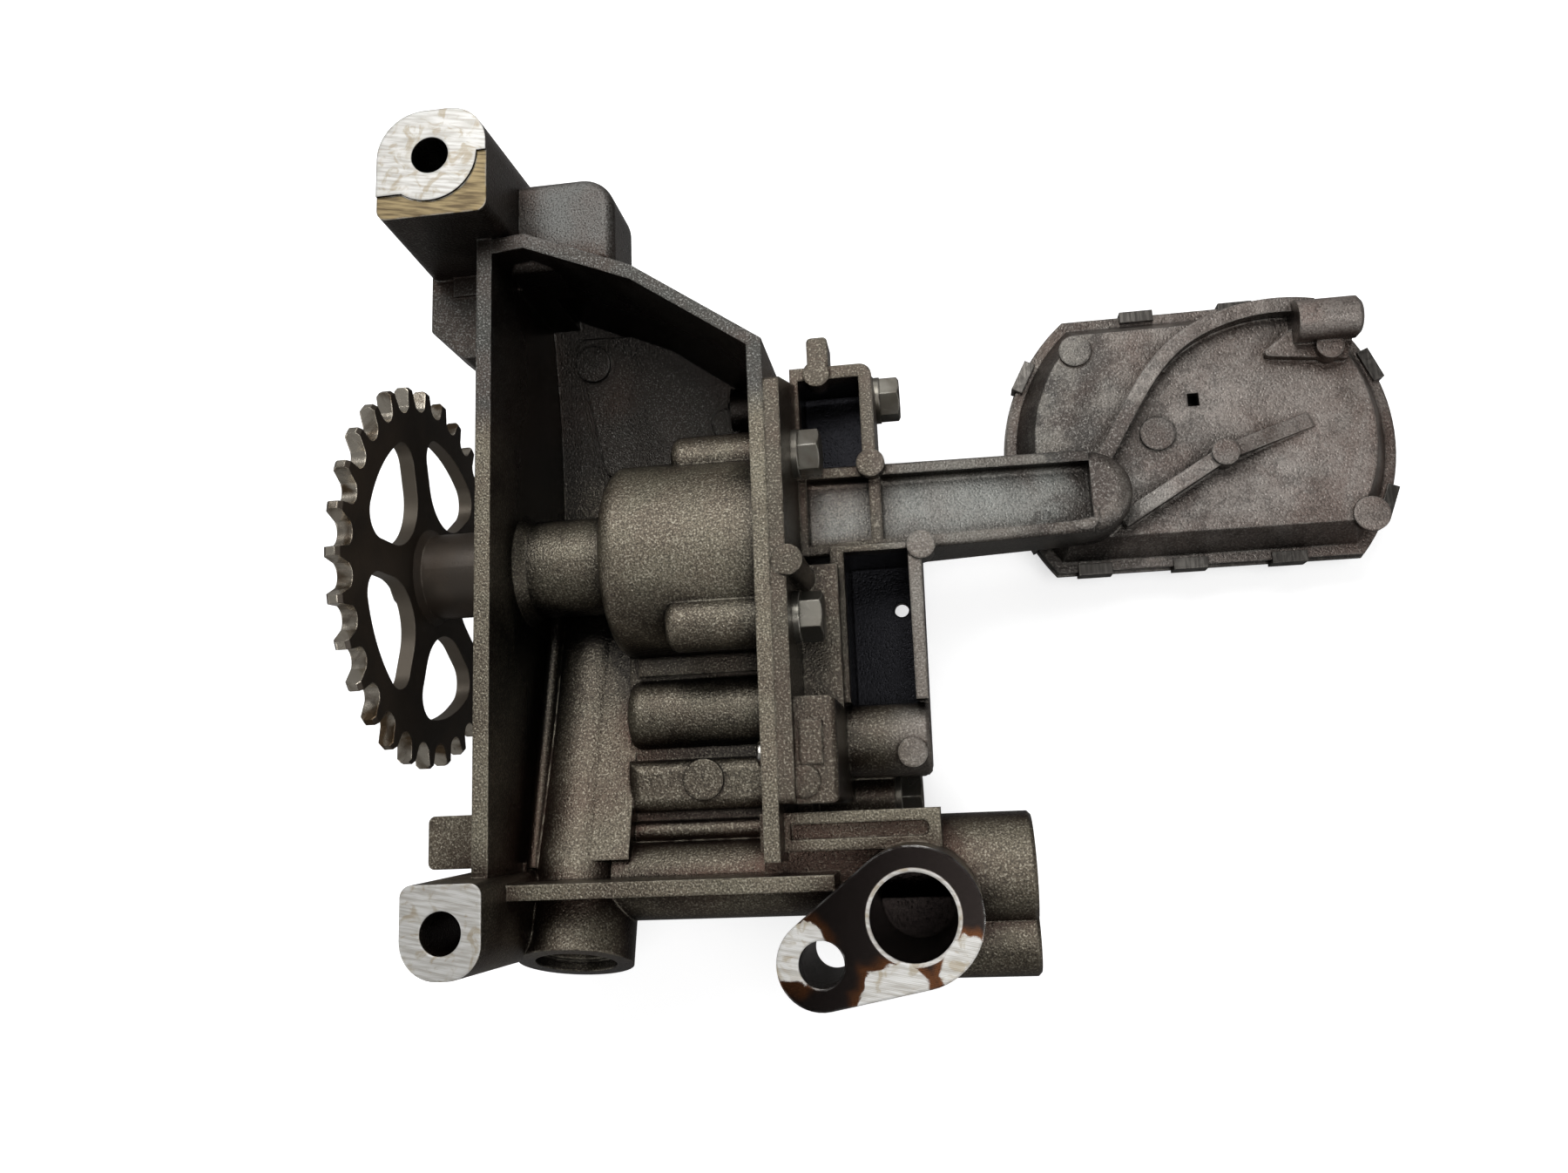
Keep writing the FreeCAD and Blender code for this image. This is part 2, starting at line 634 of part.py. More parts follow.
def sprocket_window(index):
    """One rounded three-cornered window between two spokes."""
    half = math.pi / WINDOW_COUNT
    inner = SPOKE_WIDTH / 2 / math.sin(half)
    corners = []
    middle = 2 * math.pi * (index + 0.5) / WINDOW_COUNT
    edge_turn = half - math.asin(SPOKE_WIDTH / 2 / WINDOW_OUTER_RADIUS)
    for radius, turn in ((inner, 0), (WINDOW_OUTER_RADIUS, edge_turn),
                         (WINDOW_OUTER_RADIUS, -edge_turn)):
        y = SHAFT_Y + radius * math.sin(middle + turn)
        z = SHAFT_Z + radius * math.cos(middle + turn)
        corners.append(V(SPROCKET_FACE_X, y, z))
    crown = V(SPROCKET_FACE_X, SHAFT_Y + WINDOW_OUTER_RADIUS * math.sin(middle),
              SHAFT_Z + WINDOW_OUTER_RADIUS * math.cos(middle))
    edges = [Part.makeLine(corners[0], corners[1]),
             Part.Arc(corners[1], crown, corners[2]).toShape(),
             Part.makeLine(corners[2], corners[0])]
    window = Part.Face(Part.Wire(edges)).extrude(V(-SPROCKET_WIDTH, 0, 0))
    along = [edge for edge in window.Edges if abs(edge.Length - SPROCKET_WIDTH) < 0.01]
    inner_edges = [edge for edge in along
                   if edge.CenterOfMass.distanceToPoint(V(edge.CenterOfMass.x, SHAFT_Y, SHAFT_Z))
                   < WINDOW_OUTER_RADIUS / 2]
    window = window.makeFillet(WINDOW_INNER_RADIUS, inner_edges)
    outer_edges = [edge for edge in window.Edges
                   if abs(edge.Length - SPROCKET_WIDTH) < 0.01
                   and edge.CenterOfMass.distanceToPoint(
                       V(edge.CenterOfMass.x, SHAFT_Y, SHAFT_Z)) > WINDOW_OUTER_RADIUS - 1]
    return window.makeFillet(WINDOW_CORNER_RADIUS, outer_edges)


def flatted_bore(start, end, extra):
    """Shaft bore with the two driving flats."""
    bore = rod_x(SHAFT_Y, SHAFT_Z, start, end, SHAFT_RADIUS + extra)
    reach = SHAFT_FLAT + extra
    keep = box((start, end), (SHAFT_Y - SHAFT_RADIUS - OVERRUN, SHAFT_Y + SHAFT_RADIUS + OVERRUN),
               (SHAFT_Z - reach, SHAFT_Z + reach))
    return bore.common(keep)


def drive_sprocket():
    """Chain wheel with five windows and a long hub on the pump side."""
    hub_end = LEFT_WALL_X - WALL_PAD - HUB_END_GAP
    outer_face = SPROCKET_FACE_X - SPROCKET_WIDTH
    hub = rod_x(SHAFT_Y, SHAFT_Z, outer_face, hub_end, HUB_RADIUS)
    hub = bevel(hub, HUB_BEVEL, at_x(hub_end))
    wheel = cut(sprocket_blank(), [sprocket_window(k) for k in range(WINDOW_COUNT)])
    collar = Part.makeCone(HUB_RADIUS + HUB_COLLAR, HUB_RADIUS, HUB_COLLAR,
                           V(SPROCKET_FACE_X, SHAFT_Y, SHAFT_Z), V(1, 0, 0))
    wheel = fuse([wheel, hub, collar])
    return cut(wheel, [flatted_bore(outer_face - OVERRUN, hub_end + OVERRUN, FLAT_CLEARANCE)])


def drive_shaft():
    """Shaft with a threaded outer end, driving flats and the journal."""
    outer_face = SPROCKET_FACE_X - SPROCKET_WIDTH
    thread_end = outer_face - NUT_WASHER_THICKNESS - NUT_HEIGHT - SHAFT_THREAD_STICKOUT
    hub_end = LEFT_WALL_X - WALL_PAD - HUB_END_GAP
    rotor_start = JOINT_X - ROTOR_END_PLAY - ROTOR_LENGTH
    thread = rod_x(SHAFT_Y, SHAFT_Z, thread_end, outer_face + OVERRUN, SHAFT_THREAD_RADIUS)
    thread = bevel(thread, SHAFT_THREAD_BEVEL, at_x(thread_end))
    drive_end = flatted_bore(outer_face + DRIVE_END_INSET, hub_end, 0)
    journal = rod_x(SHAFT_Y, SHAFT_Z, hub_end - SOLID_OVERLAP,
                    rotor_start + SOLID_OVERLAP, SHAFT_RADIUS)
    rotor_end = flatted_bore(rotor_start, JOINT_X - 2 * ROTOR_END_PLAY, 0)
    return fuse([thread, drive_end, journal, rotor_end])


def sprocket_washer():
    """Flat washer under the sprocket nut."""
    outer_face = SPROCKET_FACE_X - SPROCKET_WIDTH
    disc = rod_x(SHAFT_Y, SHAFT_Z, outer_face - NUT_WASHER_THICKNESS, outer_face,
                 NUT_WASHER_RADIUS)
    hole = rod_x(SHAFT_Y, SHAFT_Z, outer_face - NUT_WASHER_THICKNESS - OVERRUN,
                 outer_face + OVERRUN, SHAFT_THREAD_RADIUS + NUT_WASHER_CLEARANCE)
    return cut(disc, [hole])


def sprocket_nut():
    """Hexagon nut that holds the sprocket on the shaft."""
    seat = SPROCKET_FACE_X - SPROCKET_WIDTH - NUT_WASHER_THICKNESS
    body = hexagon_x(SHAFT_Y, SHAFT_Z, seat, seat - NUT_HEIGHT, NUT_ACROSS_FLATS,
                     NUT_TURN)
    hole = rod_x(SHAFT_Y, SHAFT_Z, seat - NUT_HEIGHT - OVERRUN, seat + OVERRUN,
                 SHAFT_THREAD_RADIUS + PRESS_CLEARANCE)
    return cut(body, [hole])


def shaft_bushes():
    """Two plain bushes pressed into the snout of the body."""
    outer = SHAFT_RADIUS + BUSH_WALL
    rotor_start = JOINT_X - ROTOR_END_PLAY - ROTOR_LENGTH
    rings = []
    for start in (LEFT_WALL_X - WALL_PAD + OUTER_BUSH_INSET,
                  rotor_start - BUSH_LENGTH - INNER_BUSH_TO_ROTOR):
        ring = rod_x(SHAFT_Y, SHAFT_Z, start, start + BUSH_LENGTH, outer)
        hole = rod_x(SHAFT_Y, SHAFT_Z, start - OVERRUN, start + BUSH_LENGTH + OVERRUN,
                     SHAFT_RADIUS + RUNNING_CLEARANCE)
        rings.append(cut(ring, [hole]))
    return Part.makeCompound(rings)


# Gerotor set

def inner_profile(x, play):
    """Closed lobed curve of the inner rotor, shrunk by the play."""
    pins = INNER_LOBES + 1
    pin_radius = ROTOR_PIN_RADIUS + play
    points = []
    for k in range(ROTOR_CURVE_POINTS):
        t = 2 * math.pi * k / ROTOR_CURVE_POINTS
        lead = math.atan2(math.sin((1 - pins) * t),
                          ROTOR_PIN_CIRCLE / (ROTOR_ECCENTRICITY * pins)
                          - math.cos((1 - pins) * t))
        across = (ROTOR_PIN_CIRCLE * math.cos(t) - pin_radius * math.cos(t + lead)
                  - ROTOR_ECCENTRICITY * math.cos(pins * t))
        upward = (-ROTOR_PIN_CIRCLE * math.sin(t) + pin_radius * math.sin(t + lead)
                  + ROTOR_ECCENTRICITY * math.sin(pins * t))
        points.append(V(x, SHAFT_Y + upward, SHAFT_Z + across))
    arcs = []
    for k in range(0, ROTOR_CURVE_POINTS, 2):
        end = points[(k + 2) % ROTOR_CURVE_POINTS]
        arcs.append(Part.Arc(points[k], points[k + 1], end).toShape())
    return Part.Wire(arcs)


def inner_rotor():
    """Six-lobed rotor driven by the two flats of the shaft."""
    end = JOINT_X - ROTOR_END_PLAY
    start = end - ROTOR_LENGTH
    face = Part.Face(inner_profile(start, ROTOR_PLAY))
    solid = face.extrude(V(ROTOR_LENGTH, 0, 0))
    return cut(solid, [flatted_bore(start - OVERRUN, end + OVERRUN, FLAT_CLEARANCE)])


def outer_rotor():
    """Ring with seven inward lobes, running off centre in the chamber."""
    end = JOINT_X - ROTOR_END_PLAY
    start = end - ROTOR_LENGTH
    centre_z = SHAFT_Z - ROTOR_ECCENTRICITY
    pins = INNER_LOBES + 1
    ring = rod_x(SHAFT_Y, centre_z, start, end, OUTER_ROTOR_RADIUS)
    root = ROTOR_PIN_CIRCLE + 2 * ROTOR_ECCENTRICITY - ROTOR_PIN_RADIUS + ROTOR_PLAY
    cavity = rod_x(SHAFT_Y, centre_z, start - OVERRUN, end + OVERRUN, root)
    lobes = []
    for k in range(pins):
        turn = 2 * math.pi * k / pins
        lobe = rod_x(SHAFT_Y + ROTOR_PIN_CIRCLE * math.sin(turn),
                     centre_z + ROTOR_PIN_CIRCLE * math.cos(turn),
                     start, end, ROTOR_PIN_RADIUS)
        lobes.append(lobe.common(ring))
    return fuse([cut(ring, [cavity])] + lobes)


# Body casting

def left_wall():
    """Wall behind the sprocket that carries the shaft snout."""
    outline = [(WALL_TOP_Y, RIM_Z), (LOWER_WALL_Y, RIM_Z)] + list(LEFT_WALL_BACK)
    corners = [V(LEFT_WALL_X, y, z) for y, z in outline]
    face = Part.Face(Part.makePolygon(corners + [corners[0]]))
    pad = [V(LEFT_WALL_X + OVERRUN, y, z) for y, z in (
        (WALL_PAD_Y[0], WALL_PAD_Z[0]), (WALL_PAD_Y[1], WALL_PAD_Z[0]),
        (WALL_PAD_Y[1], WALL_PAD_Z[1]), (WALL_PAD_Y[0], WALL_PAD_Z[1]))]
    raised = Part.Face(rounded_wire(pad, [WALL_PAD_CORNER] * 4)).extrude(V(-WALL_PAD - OVERRUN, 0, 0))
    return fuse([face.extrude(V(LEFT_WALL, 0, 0)), raised])


def web(rise):
    """Dished floor of the frame, raised by the given height."""
    upper = [V(LEFT_WALL_X, y, z + rise) for y, z in WEB_TOP]
    lower = [V(LEFT_WALL_X, y, z - WEB_THICKNESS) for y, z in WEB_TOP]
    edges = [Part.Arc(*upper).toShape(), Part.makeLine(upper[2], lower[2]),
             Part.Arc(*lower).toShape(), Part.makeLine(lower[0], upper[0])]
    face = Part.Face(Part.Wire(Part.__sortEdges__(edges)))
    return face.extrude(V(JOINT_X - LEFT_WALL_X, 0, 0))


def upper_wall():
    """Sloping wall along the top of the frame."""
    outer = list(UPPER_WALL_POINTS)
    inner = [(x, y - UPPER_WALL_DROP) for x, y in reversed(outer)]
    outline = outer + inner
    return prism_z(outline, [0] * len(outline), RIM_Z, WALL_BACK_Z)


def web_trim():
    """Outline inside which the floor of the frame lies."""
    outline = [(LEFT_WALL_X, LOWER_WALL_Y)]
    outline.append((JOINT_X, LOWER_WALL_Y))
    outline += list(reversed(UPPER_WALL_POINTS))
    outline.append((LEFT_WALL_X, WALL_TOP_Y))
    return prism_z(outline, [0] * len(outline), RIM_Z, FRAME_BACK_Z)


def joint_wall():
    """Wall with the machined joint face for the pump cover."""
    outline = [(JOINT_BOTTOM_Y - JOINT_FOOT, RIM_Z), (JOINT_TOP_Y, RIM_Z),
               (JOINT_TOP_Y, WALL_BACK_Z),
               (110.0, JOINT_BACK_Z), (32.0, JOINT_BACK_Z),
               (JOINT_BOTTOM_Y - JOINT_FOOT, -60.0)]
    corners = [V(JOINT_X - JOINT_WALL, y, z) for y, z in outline]
    wire = rounded_wire(corners, JOINT_CORNER_RADII)
    wall = Part.Face(wire).extrude(V(JOINT_WALL, 0, 0))
    bosses = [rod_x(y, BOX_BOLT_Z, BOX_BOSS_START_X, JOINT_X, BOX_BOSS_RADIUS)
              for y in BOX_BOLT_YS]
    return fuse([wall] + bosses)


def rotor_housing():
    """Round housing, shaft snout and the screw bosses on its outside."""
    drum = rod_x(SHAFT_Y, SHAFT_Z, HOUSING_START_X, JOINT_X - OVERRUN, HOUSING_RADIUS)
    drum = soften(drum, HOUSING_EDGE_RADIUS, at_x(HOUSING_START_X))
    snout = rod_x(SHAFT_Y, SHAFT_Z, LEFT_WALL_X, HOUSING_START_X + HOUSING_EDGE_RADIUS,
                  SNOUT_RADIUS)
    wall_face = LEFT_WALL_X + LEFT_WALL
    flare = Part.makeCone(SNOUT_FLARE_RADIUS, SNOUT_RADIUS, SNOUT_FLARE_LENGTH,
                          V(wall_face, SHAFT_Y, SHAFT_Z), V(1, 0, 0))
    bosses = []
    for angle in COVER_BOLT_ANGLES:
        y, z = on_circle(angle, COVER_BOLT_CIRCLE)
        boss = rod_x(y, z, SCREW_BOSS_START_X, JOINT_X - OVERRUN, SCREW_BOSS_RADIUS)
        bosses.append(soften(boss, SCREW_BOSS_EDGE_RADIUS, at_x(SCREW_BOSS_START_X)))
    return fuse([drum, snout, flare] + bosses)


def from_rear_hole(outline):
    """Outline whose points are given from the centre of the rear mounting hole."""
    return [(REAR_HOLE_X + x, REAR_HOLE_Y + y) for x, y in outline]


def mounting_bosses():
    """The two tall bosses, their lugs and the block beside the rear one."""
    rear = drafted_post(from_rear_hole(REAR_BOSS), REAR_BOSS_RADII, 0, -BOSS_DEPTH, BOSS_DRAFT)
    front = drafted_post(FRONT_BOSS, FRONT_BOSS_RADII, 0, -BOSS_DEPTH, BOSS_DRAFT)
    upper_lug = prism_z(from_rear_hole(UPPER_LUG), [LUG_RADIUS, LUG_RADIUS, 0, 0, LUG_RADIUS],
                        LUG_BACK_Z, LUG_TOP_Z)
    lower_lug = prism_z(LOWER_LUG, [LUG_RADIUS, 0, 0, LUG_RADIUS], LUG_BACK_Z, LUG_TOP_Z)
    bump = prism_z(from_rear_hole(BUMP), [0, 0, BUMP_RADIUS, 0], BUMP_BACK_Z, BUMP_TOP_Z)
    bump = soften(bump, BUMP_EDGE_RADIUS, at_z(BUMP_TOP_Z))
    root = box([REAR_HOLE_X + x for x in REAR_ROOT[0]], [REAR_HOLE_Y + y for y in REAR_ROOT[1]],
               REAR_ROOT[2])
    foot = box(*FRONT_FOOT)
    return [rear, front, upper_lug, lower_lug, bump, root, foot]


def outlet_column():
    """Pear-shaped outlet flange standing on the gallery."""
    gap = V(OUTLET_BOLT_X - OUTLET_X, OUTLET_BOLT_Y - OUTLET_Y, 0)
    spread = math.acos((OUTLET_FLANGE_RADIUS - OUTLET_EAR_RADIUS) / gap.Length)
    heading = math.atan2(gap.y, gap.x)
    points = []
    for sign in (1, -1):
        turn = heading + sign * spread
        side = V(math.cos(turn), math.sin(turn), 0)
        big = V(OUTLET_X, OUTLET_Y, 0) + side * OUTLET_FLANGE_RADIUS
        small = V(OUTLET_BOLT_X, OUTLET_BOLT_Y, 0) + side * OUTLET_EAR_RADIUS
        points.append((big, small))
    far_big = V(OUTLET_X, OUTLET_Y, 0) - V(gap).normalize() * OUTLET_FLANGE_RADIUS
    far_small = (V(OUTLET_BOLT_X, OUTLET_BOLT_Y, 0)
                 + V(gap).normalize() * OUTLET_EAR_RADIUS)
    edges = [Part.Arc(points[0][0], far_big, points[1][0]).toShape(),
             Part.makeLine(points[1][0], points[1][1]),
             Part.Arc(points[1][1], far_small, points[0][1]).toShape(),
             Part.makeLine(points[0][1], points[0][0])]
    face = Part.Face(Part.Wire(Part.__sortEdges__(edges)))
    flange = face.extrude(V(0, 0, -OUTLET_FLANGE_DEPTH))
    tube = rod_z(OUTLET_X, OUTLET_Y, GALLERY_Z - GALLERY_RADIUS, 0, OUTLET_FLANGE_RADIUS)
    return fuse([flange, tube])


def gallery_outside():
    """Outer shape of the pressure gallery and its head at the open end."""
    pipe = rod_x(GALLERY_Y, GALLERY_Z, GALLERY_START_X, OUTLET_X, GALLERY_RADIUS)
    head = rod_x(GALLERY_Y, GALLERY_Z, GALLERY_HEAD_START_X, GALLERY_END_X,
                 GALLERY_HEAD_RADIUS)
    head = bevel(head, GALLERY_BEVEL, at_x(GALLERY_END_X))
    side = rod_x(SIDE_BOSS_Y, GALLERY_Z, SIDE_BOSS_START_X, GALLERY_END_X, SIDE_BOSS_RADIUS)
    side = bevel(side, GALLERY_BEVEL, at_x(GALLERY_END_X))
    block_x = SLOT_BLOCK[:2]
    block_y = SLOT_BLOCK[2:]
    block = box(block_x, block_y, (GALLERY_Z, SLOT_BLOCK_TOP_Z))
    shelf = box(block_x, (LOWER_WALL_Y, block_y[0] + OVERRUN), (GALLERY_Z, GALLERY_SHELF_Z))
    return [pipe, head, side, block, shelf]


def slot_pocket():
    """Shallow pocket in the top of the block beside the gallery."""
    start = JOINT_X + SLOT_RIM / 2
    far = SLOT_BLOCK[1] - SLOT_RIM
    low = SLOT_BLOCK[2] + SLOT_RIM
    high = SLOT_BLOCK[3] - SLOT_RIM
    return prism_z(((start, low), (far, low), (far, high), (start, high)),
                   [0, SLOT_CORNER, SLOT_CORNER, 0], SLOT_BLOCK_TOP_Z - SLOT_DEPTH,
                   SLOT_BLOCK_TOP_Z + OVERRUN)


def duct_outside():
    """Ridges over the discharge duct on the floor of the frame."""
    ridge = rod_x(DUCT_RIDGE_Y, DUCT_RIDGE_Z, RIDGE_START_X, JOINT_X - OVERRUN, DUCT_RIDGE_RADIUS)
    ridge = soften(ridge, RIDGE_EDGE_RADIUS, at_x(RIDGE_START_X))
    skirt = box((RIDGE_START_X + OVERRUN, JOINT_X - OVERRUN),
                (DUCT_RIDGE_Y - DUCT_RIDGE_RADIUS, DUCT_RIDGE_Y + DUCT_RIDGE_RADIUS),
                (DUCT_RIDGE_Z, DUCT_BACK_Z))
    pad = box((RIDGE_START_X, JOINT_X - OVERRUN), PAD_RIDGE_Y, (DUCT_Z[0], PAD_RIDGE_TOP_Z))
    pad = soften(pad, RIDGE_EDGE_RADIUS, at_z(PAD_RIDGE_TOP_Z))
    link = box((RIDGE_START_X, JOINT_X - OVERRUN), (GALLERY_Y, DUCT_LINK_TOP_Y),
               (DUCT_BACK_Z, DUCT_LINK_TOP_Z))
    low = rod_x(LOW_RIDGE_Y, DUCT_LINK_TOP_Z, RIDGE_START_X, JOINT_X - OVERRUN, LOW_RIDGE_RADIUS)
    low = soften(low, LOW_RIDGE_EDGE_RADIUS, at_x(RIDGE_START_X))
    ledge = box((RIDGE_START_X + LOW_RIDGE_RADIUS, JOINT_X - OVERRUN), STEP_LEDGE_Y,
                (DUCT_LINK_TOP_Z - OVERRUN, STEP_LEDGE_TOP_Z))
    return [ridge, skirt, pad, link, low, ledge]


def valve_bead():
    """Raised bead along the valve tube, beside the wall."""
    start, end = (V(VALVE_BEAD_X, y, z) for y, z in VALVE_BEAD_ENDS)
    run = end - start
    round_top = Part.makeCylinder(VALVE_BEAD_RADIUS, run.Length, start, run)
    drop = V(0, 0, -VALVE_BEAD_DEPTH)
    side = V(-VALVE_BEAD_WEB / 2, 0, 0)
    corners = [start + side, end + side, end + side + drop, start + side + drop]
    web_face = Part.Face(Part.makePolygon(corners + [corners[0]]))
    return [round_top, web_face.extrude(V(VALVE_BEAD_WEB, 0, 0))]


def body_solid():
    """Everything that is metal on the body casting."""
    floor = web(0).common(web_trim())
    panel = web(PANEL_STEP).common(
        prism_z(PANEL_POINTS, [PANEL_CORNER] * len(PANEL_POINTS), FRAME_BACK_Z, RIM_Z))
    lower_wall = box((LEFT_WALL_X, LOWER_WALL_END_X), (LOWER_WALL_Y, LOWER_WALL_Y + WALL),
                     (LOWER_WALL_BACK_Z, RIM_Z))
    valve_tube = rod_y(VALVE_X, VALVE_Z, VALVE_TUBE_END_Y, VALVE_TUBE_TOP_Y,
                       VALVE_TUBE_RADIUS)
    saddle = box((VALVE_X + VALVE_SADDLE_START, RIDGE_START_X + VALVE_SADDLE_OVERLAP),
                 (LOWER_WALL_Y + WALL + OVERRUN, VALVE_TUBE_TOP_Y - VALVE_SADDLE_END),
                 (VALVE_Z - VALVE_TUBE_RADIUS / 2, VALVE_Z + VALVE_TUBE_RADIUS - VALVE_SADDLE_DROP))
    pieces = [floor, panel, left_wall(), upper_wall(), lower_wall, joint_wall(),
              rotor_housing(), outlet_column(), tilted(fuse([valve_tube, saddle]))]
    pieces += mounting_bosses()
    pieces += gallery_outside()
    pieces += duct_outside()
    pieces += valve_bead()
    return fuse(pieces)


def body_bores():
    """All bores and hollows of the body casting."""
    rotor_start = JOINT_X - 2 * ROTOR_END_PLAY - ROTOR_LENGTH
    centre_z = SHAFT_Z - ROTOR_ECCENTRICITY
    chamber = rod_x(SHAFT_Y, centre_z, rotor_start, JOINT_X + OVERRUN,
                    OUTER_ROTOR_RADIUS + RUNNING_CLEARANCE * 2)
    bush_bore = rod_x(SHAFT_Y, SHAFT_Z, LEFT_WALL_X - WALL_PAD - OVERRUN, rotor_start + OVERRUN,
                      SHAFT_RADIUS + BUSH_WALL + PRESS_CLEARANCE)
    tools = [chamber, bush_bore, slot_pocket()]
    for x, y in ((0, 0), (REAR_HOLE_X, REAR_HOLE_Y), (OUTLET_BOLT_X, OUTLET_BOLT_Y)):
        tools.append(rod_z(x, y, FRAME_BACK_Z, OVERRUN, MOUNT_HOLE_RADIUS))
    tools.append(rod_z(OUTLET_X, OUTLET_Y, GALLERY_Z - OUTLET_SUMP, OVERRUN, OUTLET_RADIUS))
    tools.append(rod_x(GALLERY_Y, GALLERY_Z, DUCT_X[0], GALLERY_END_X + OVERRUN, GALLERY_BORE))
    plug_start = GALLERY_END_X - PLUG_DEPTH - PLUG_RECESS
    tools.append(rod_x(GALLERY_Y, GALLERY_Z, plug_start, GALLERY_END_X + OVERRUN,
                       PLUG_RADIUS + PRESS_CLEARANCE))
    tools.append(rod_x(SIDE_BOSS_Y, GALLERY_Z, GALLERY_END_X - SIDE_BOSS_HOLE_DEPTH,
                       GALLERY_END_X + OVERRUN, SIDE_BOSS_HOLE))
    tools.append(box(DUCT_X, (GALLERY_Y, SHAFT_Y - OUTER_ROTOR_RADIUS + DUCT_PORT_OVERLAP),
                     DUCT_Z))
    tools.append(port_pocket(-1, rotor_start - PORT_DEPTH, rotor_start + OVERRUN))
    for angle in COVER_BOLT_ANGLES:
        y, z = on_circle(angle, COVER_BOLT_CIRCLE)
        tools.append(rod_x(y, z, JOINT_X - THREAD_DEPTH - HOLE_SPARE_DEPTH, JOINT_X + OVERRUN,
                           TAPPED_HOLE_RADIUS))
    for y in BOX_BOLT_YS:
        tools.append(rod_x(y, BOX_BOLT_Z, BOX_BOSS_START_X - OVERRUN, JOINT_X + OVERRUN,
                           TAPPED_HOLE_RADIUS))
    for y, z in DOWEL_POINTS:
        tools.append(rod_x(y, z, JOINT_X - DOWEL_BODY_DEPTH, JOINT_X + OVERRUN,
                           DOWEL_RADIUS + PRESS_CLEARANCE))
    tools += valve_bores()
    return tools


def valve_bores():
    """Bore, mouth, circlip groove and spill port of the relief valve."""
    bore = rod_y(VALVE_X, VALVE_Z, VALVE_TUBE_END_Y - OVERRUN, VALVE_BORE_TOP_Y, VALVE_BORE)
    mouth = rod_y(VALVE_X, VALVE_Z, VALVE_TUBE_END_Y - OVERRUN, VALVE_TUBE_END_Y + VALVE_MOUTH_DEPTH,
                  VALVE_MOUTH_RADIUS)
    groove = rod_y(VALVE_X, VALVE_Z, circlip_start() - CIRCLIP_SIDE_PLAY,
                   circlip_start() + CIRCLIP_THICKNESS + CIRCLIP_SIDE_PLAY,
                   VALVE_BORE + CIRCLIP_GROOVE)
    piston_top = VALVE_BORE_TOP_Y - SEAT_GAP
    spill_top = piston_top - PISTON_NOSE_LENGTH - SPILL_OPENS_AFTER
    spill = box((VALVE_X - SPILL_WIDTH / 2, VALVE_X + SPILL_WIDTH / 2),
                (spill_top - SPILL_LENGTH, spill_top), (VALVE_Z, VALVE_Z - SPILL_DEPTH))
    feed_y = VALVE_BORE_TOP_Y - PISTON_NOSE_LENGTH / 2
    turn = math.radians(VALVE_TILT)
    reach = feed_y - VALVE_TUBE_END_Y
    feed = rod_x(VALVE_TUBE_END_Y + reach * math.cos(turn), VALVE_Z - reach * math.sin(turn),
                 VALVE_X, DUCT_X[1], VALVE_FEED_RADIUS)
    return [tilted(tool) for tool in (bore, mouth, groove, spill)] + [feed]


def port_pocket(side, start, end):
    """Kidney-shaped port beside the rotors; side is +1 for suction."""
    outer = ROTOR_PIN_CIRCLE - PORT_OUTER_LAND
    inner = SHAFT_RADIUS + PORT_INNER_LAND
    ring = cut(rod_x(SHAFT_Y, SHAFT_Z, start, end, outer),
               [rod_x(SHAFT_Y, SHAFT_Z, start, end, inner)])
    near = SHAFT_Y + side * PORT_BRIDGE
    far = SHAFT_Y + side * (outer + OVERRUN)
    return ring.common(box((start, end), (near, far), (SHAFT_Z - outer, SHAFT_Z + outer)))


def body_pads():
    """Round ejector pads on the floor panel."""
    pads = []
    for x, y, radius in BODY_PADS:
        column = rod_z(x, y, FRAME_BACK_Z, RIM_Z, radius)
        pads.append(web(PANEL_STEP + BODY_PAD_HEIGHT).common(column))
    x = (RIDGE_START_X + JOINT_X) / 2 + RIDGE_PAD_SHIFT[0]
    y = (PAD_RIDGE_Y[0] + PAD_RIDGE_Y[1]) / 2 + RIDGE_PAD_SHIFT[1]
    pads.append(rod_z(x, y, PAD_RIDGE_TOP_Z - RIDGE_PAD_ROOT,
                      PAD_RIDGE_TOP_Z + RIDGE_PAD_HEIGHT, RIDGE_PAD_RADIUS))
    return pads


def machined_lip():
    """Metal milled away round the seat of the rear boss, on its two near sides."""
    outline = grown(from_rear_hole(REAR_BOSS), MACHINED_LIP_REACH)
    lip = prism_z(outline, [0] * 4, -MACHINED_STEP, 1)
    disc = rod_z(REAR_HOLE_X, REAR_HOLE_Y, -MACHINED_STEP - OVERRUN, 2 * OVERRUN,
                 MACHINED_DISC_RADIUS)
    left = outline[0][0] - 1
    right = outline[2][0] + 1
    top = outline[2][1] + 1
    height = (-MACHINED_STEP - OVERRUN, 2 * OVERRUN)
    rear = box((left, right), (REAR_HOLE_Y, top), height)
    side = box((left, REAR_HOLE_X - MACHINED_DISC_RADIUS / 2),
               (REAR_HOLE_Y - MACHINED_DISC_RADIUS * 0.8, top), height)
    return cut(lip, [disc, rear, side])


def pump_body():
    """The finished body casting."""
    solid = fuse([body_solid()] + body_pads())
    return cut(solid, body_bores() + [machined_lip()])


# Relief valve pieces

def circlip_start():
    """Y at which the circlip begins."""
    return VALVE_TUBE_END_Y + VALVE_MOUTH_DEPTH + CIRCLIP_PLACE


def sleeve_start():
    """Y at which the spring sleeve begins."""
    return circlip_start() + CIRCLIP_THICKNESS


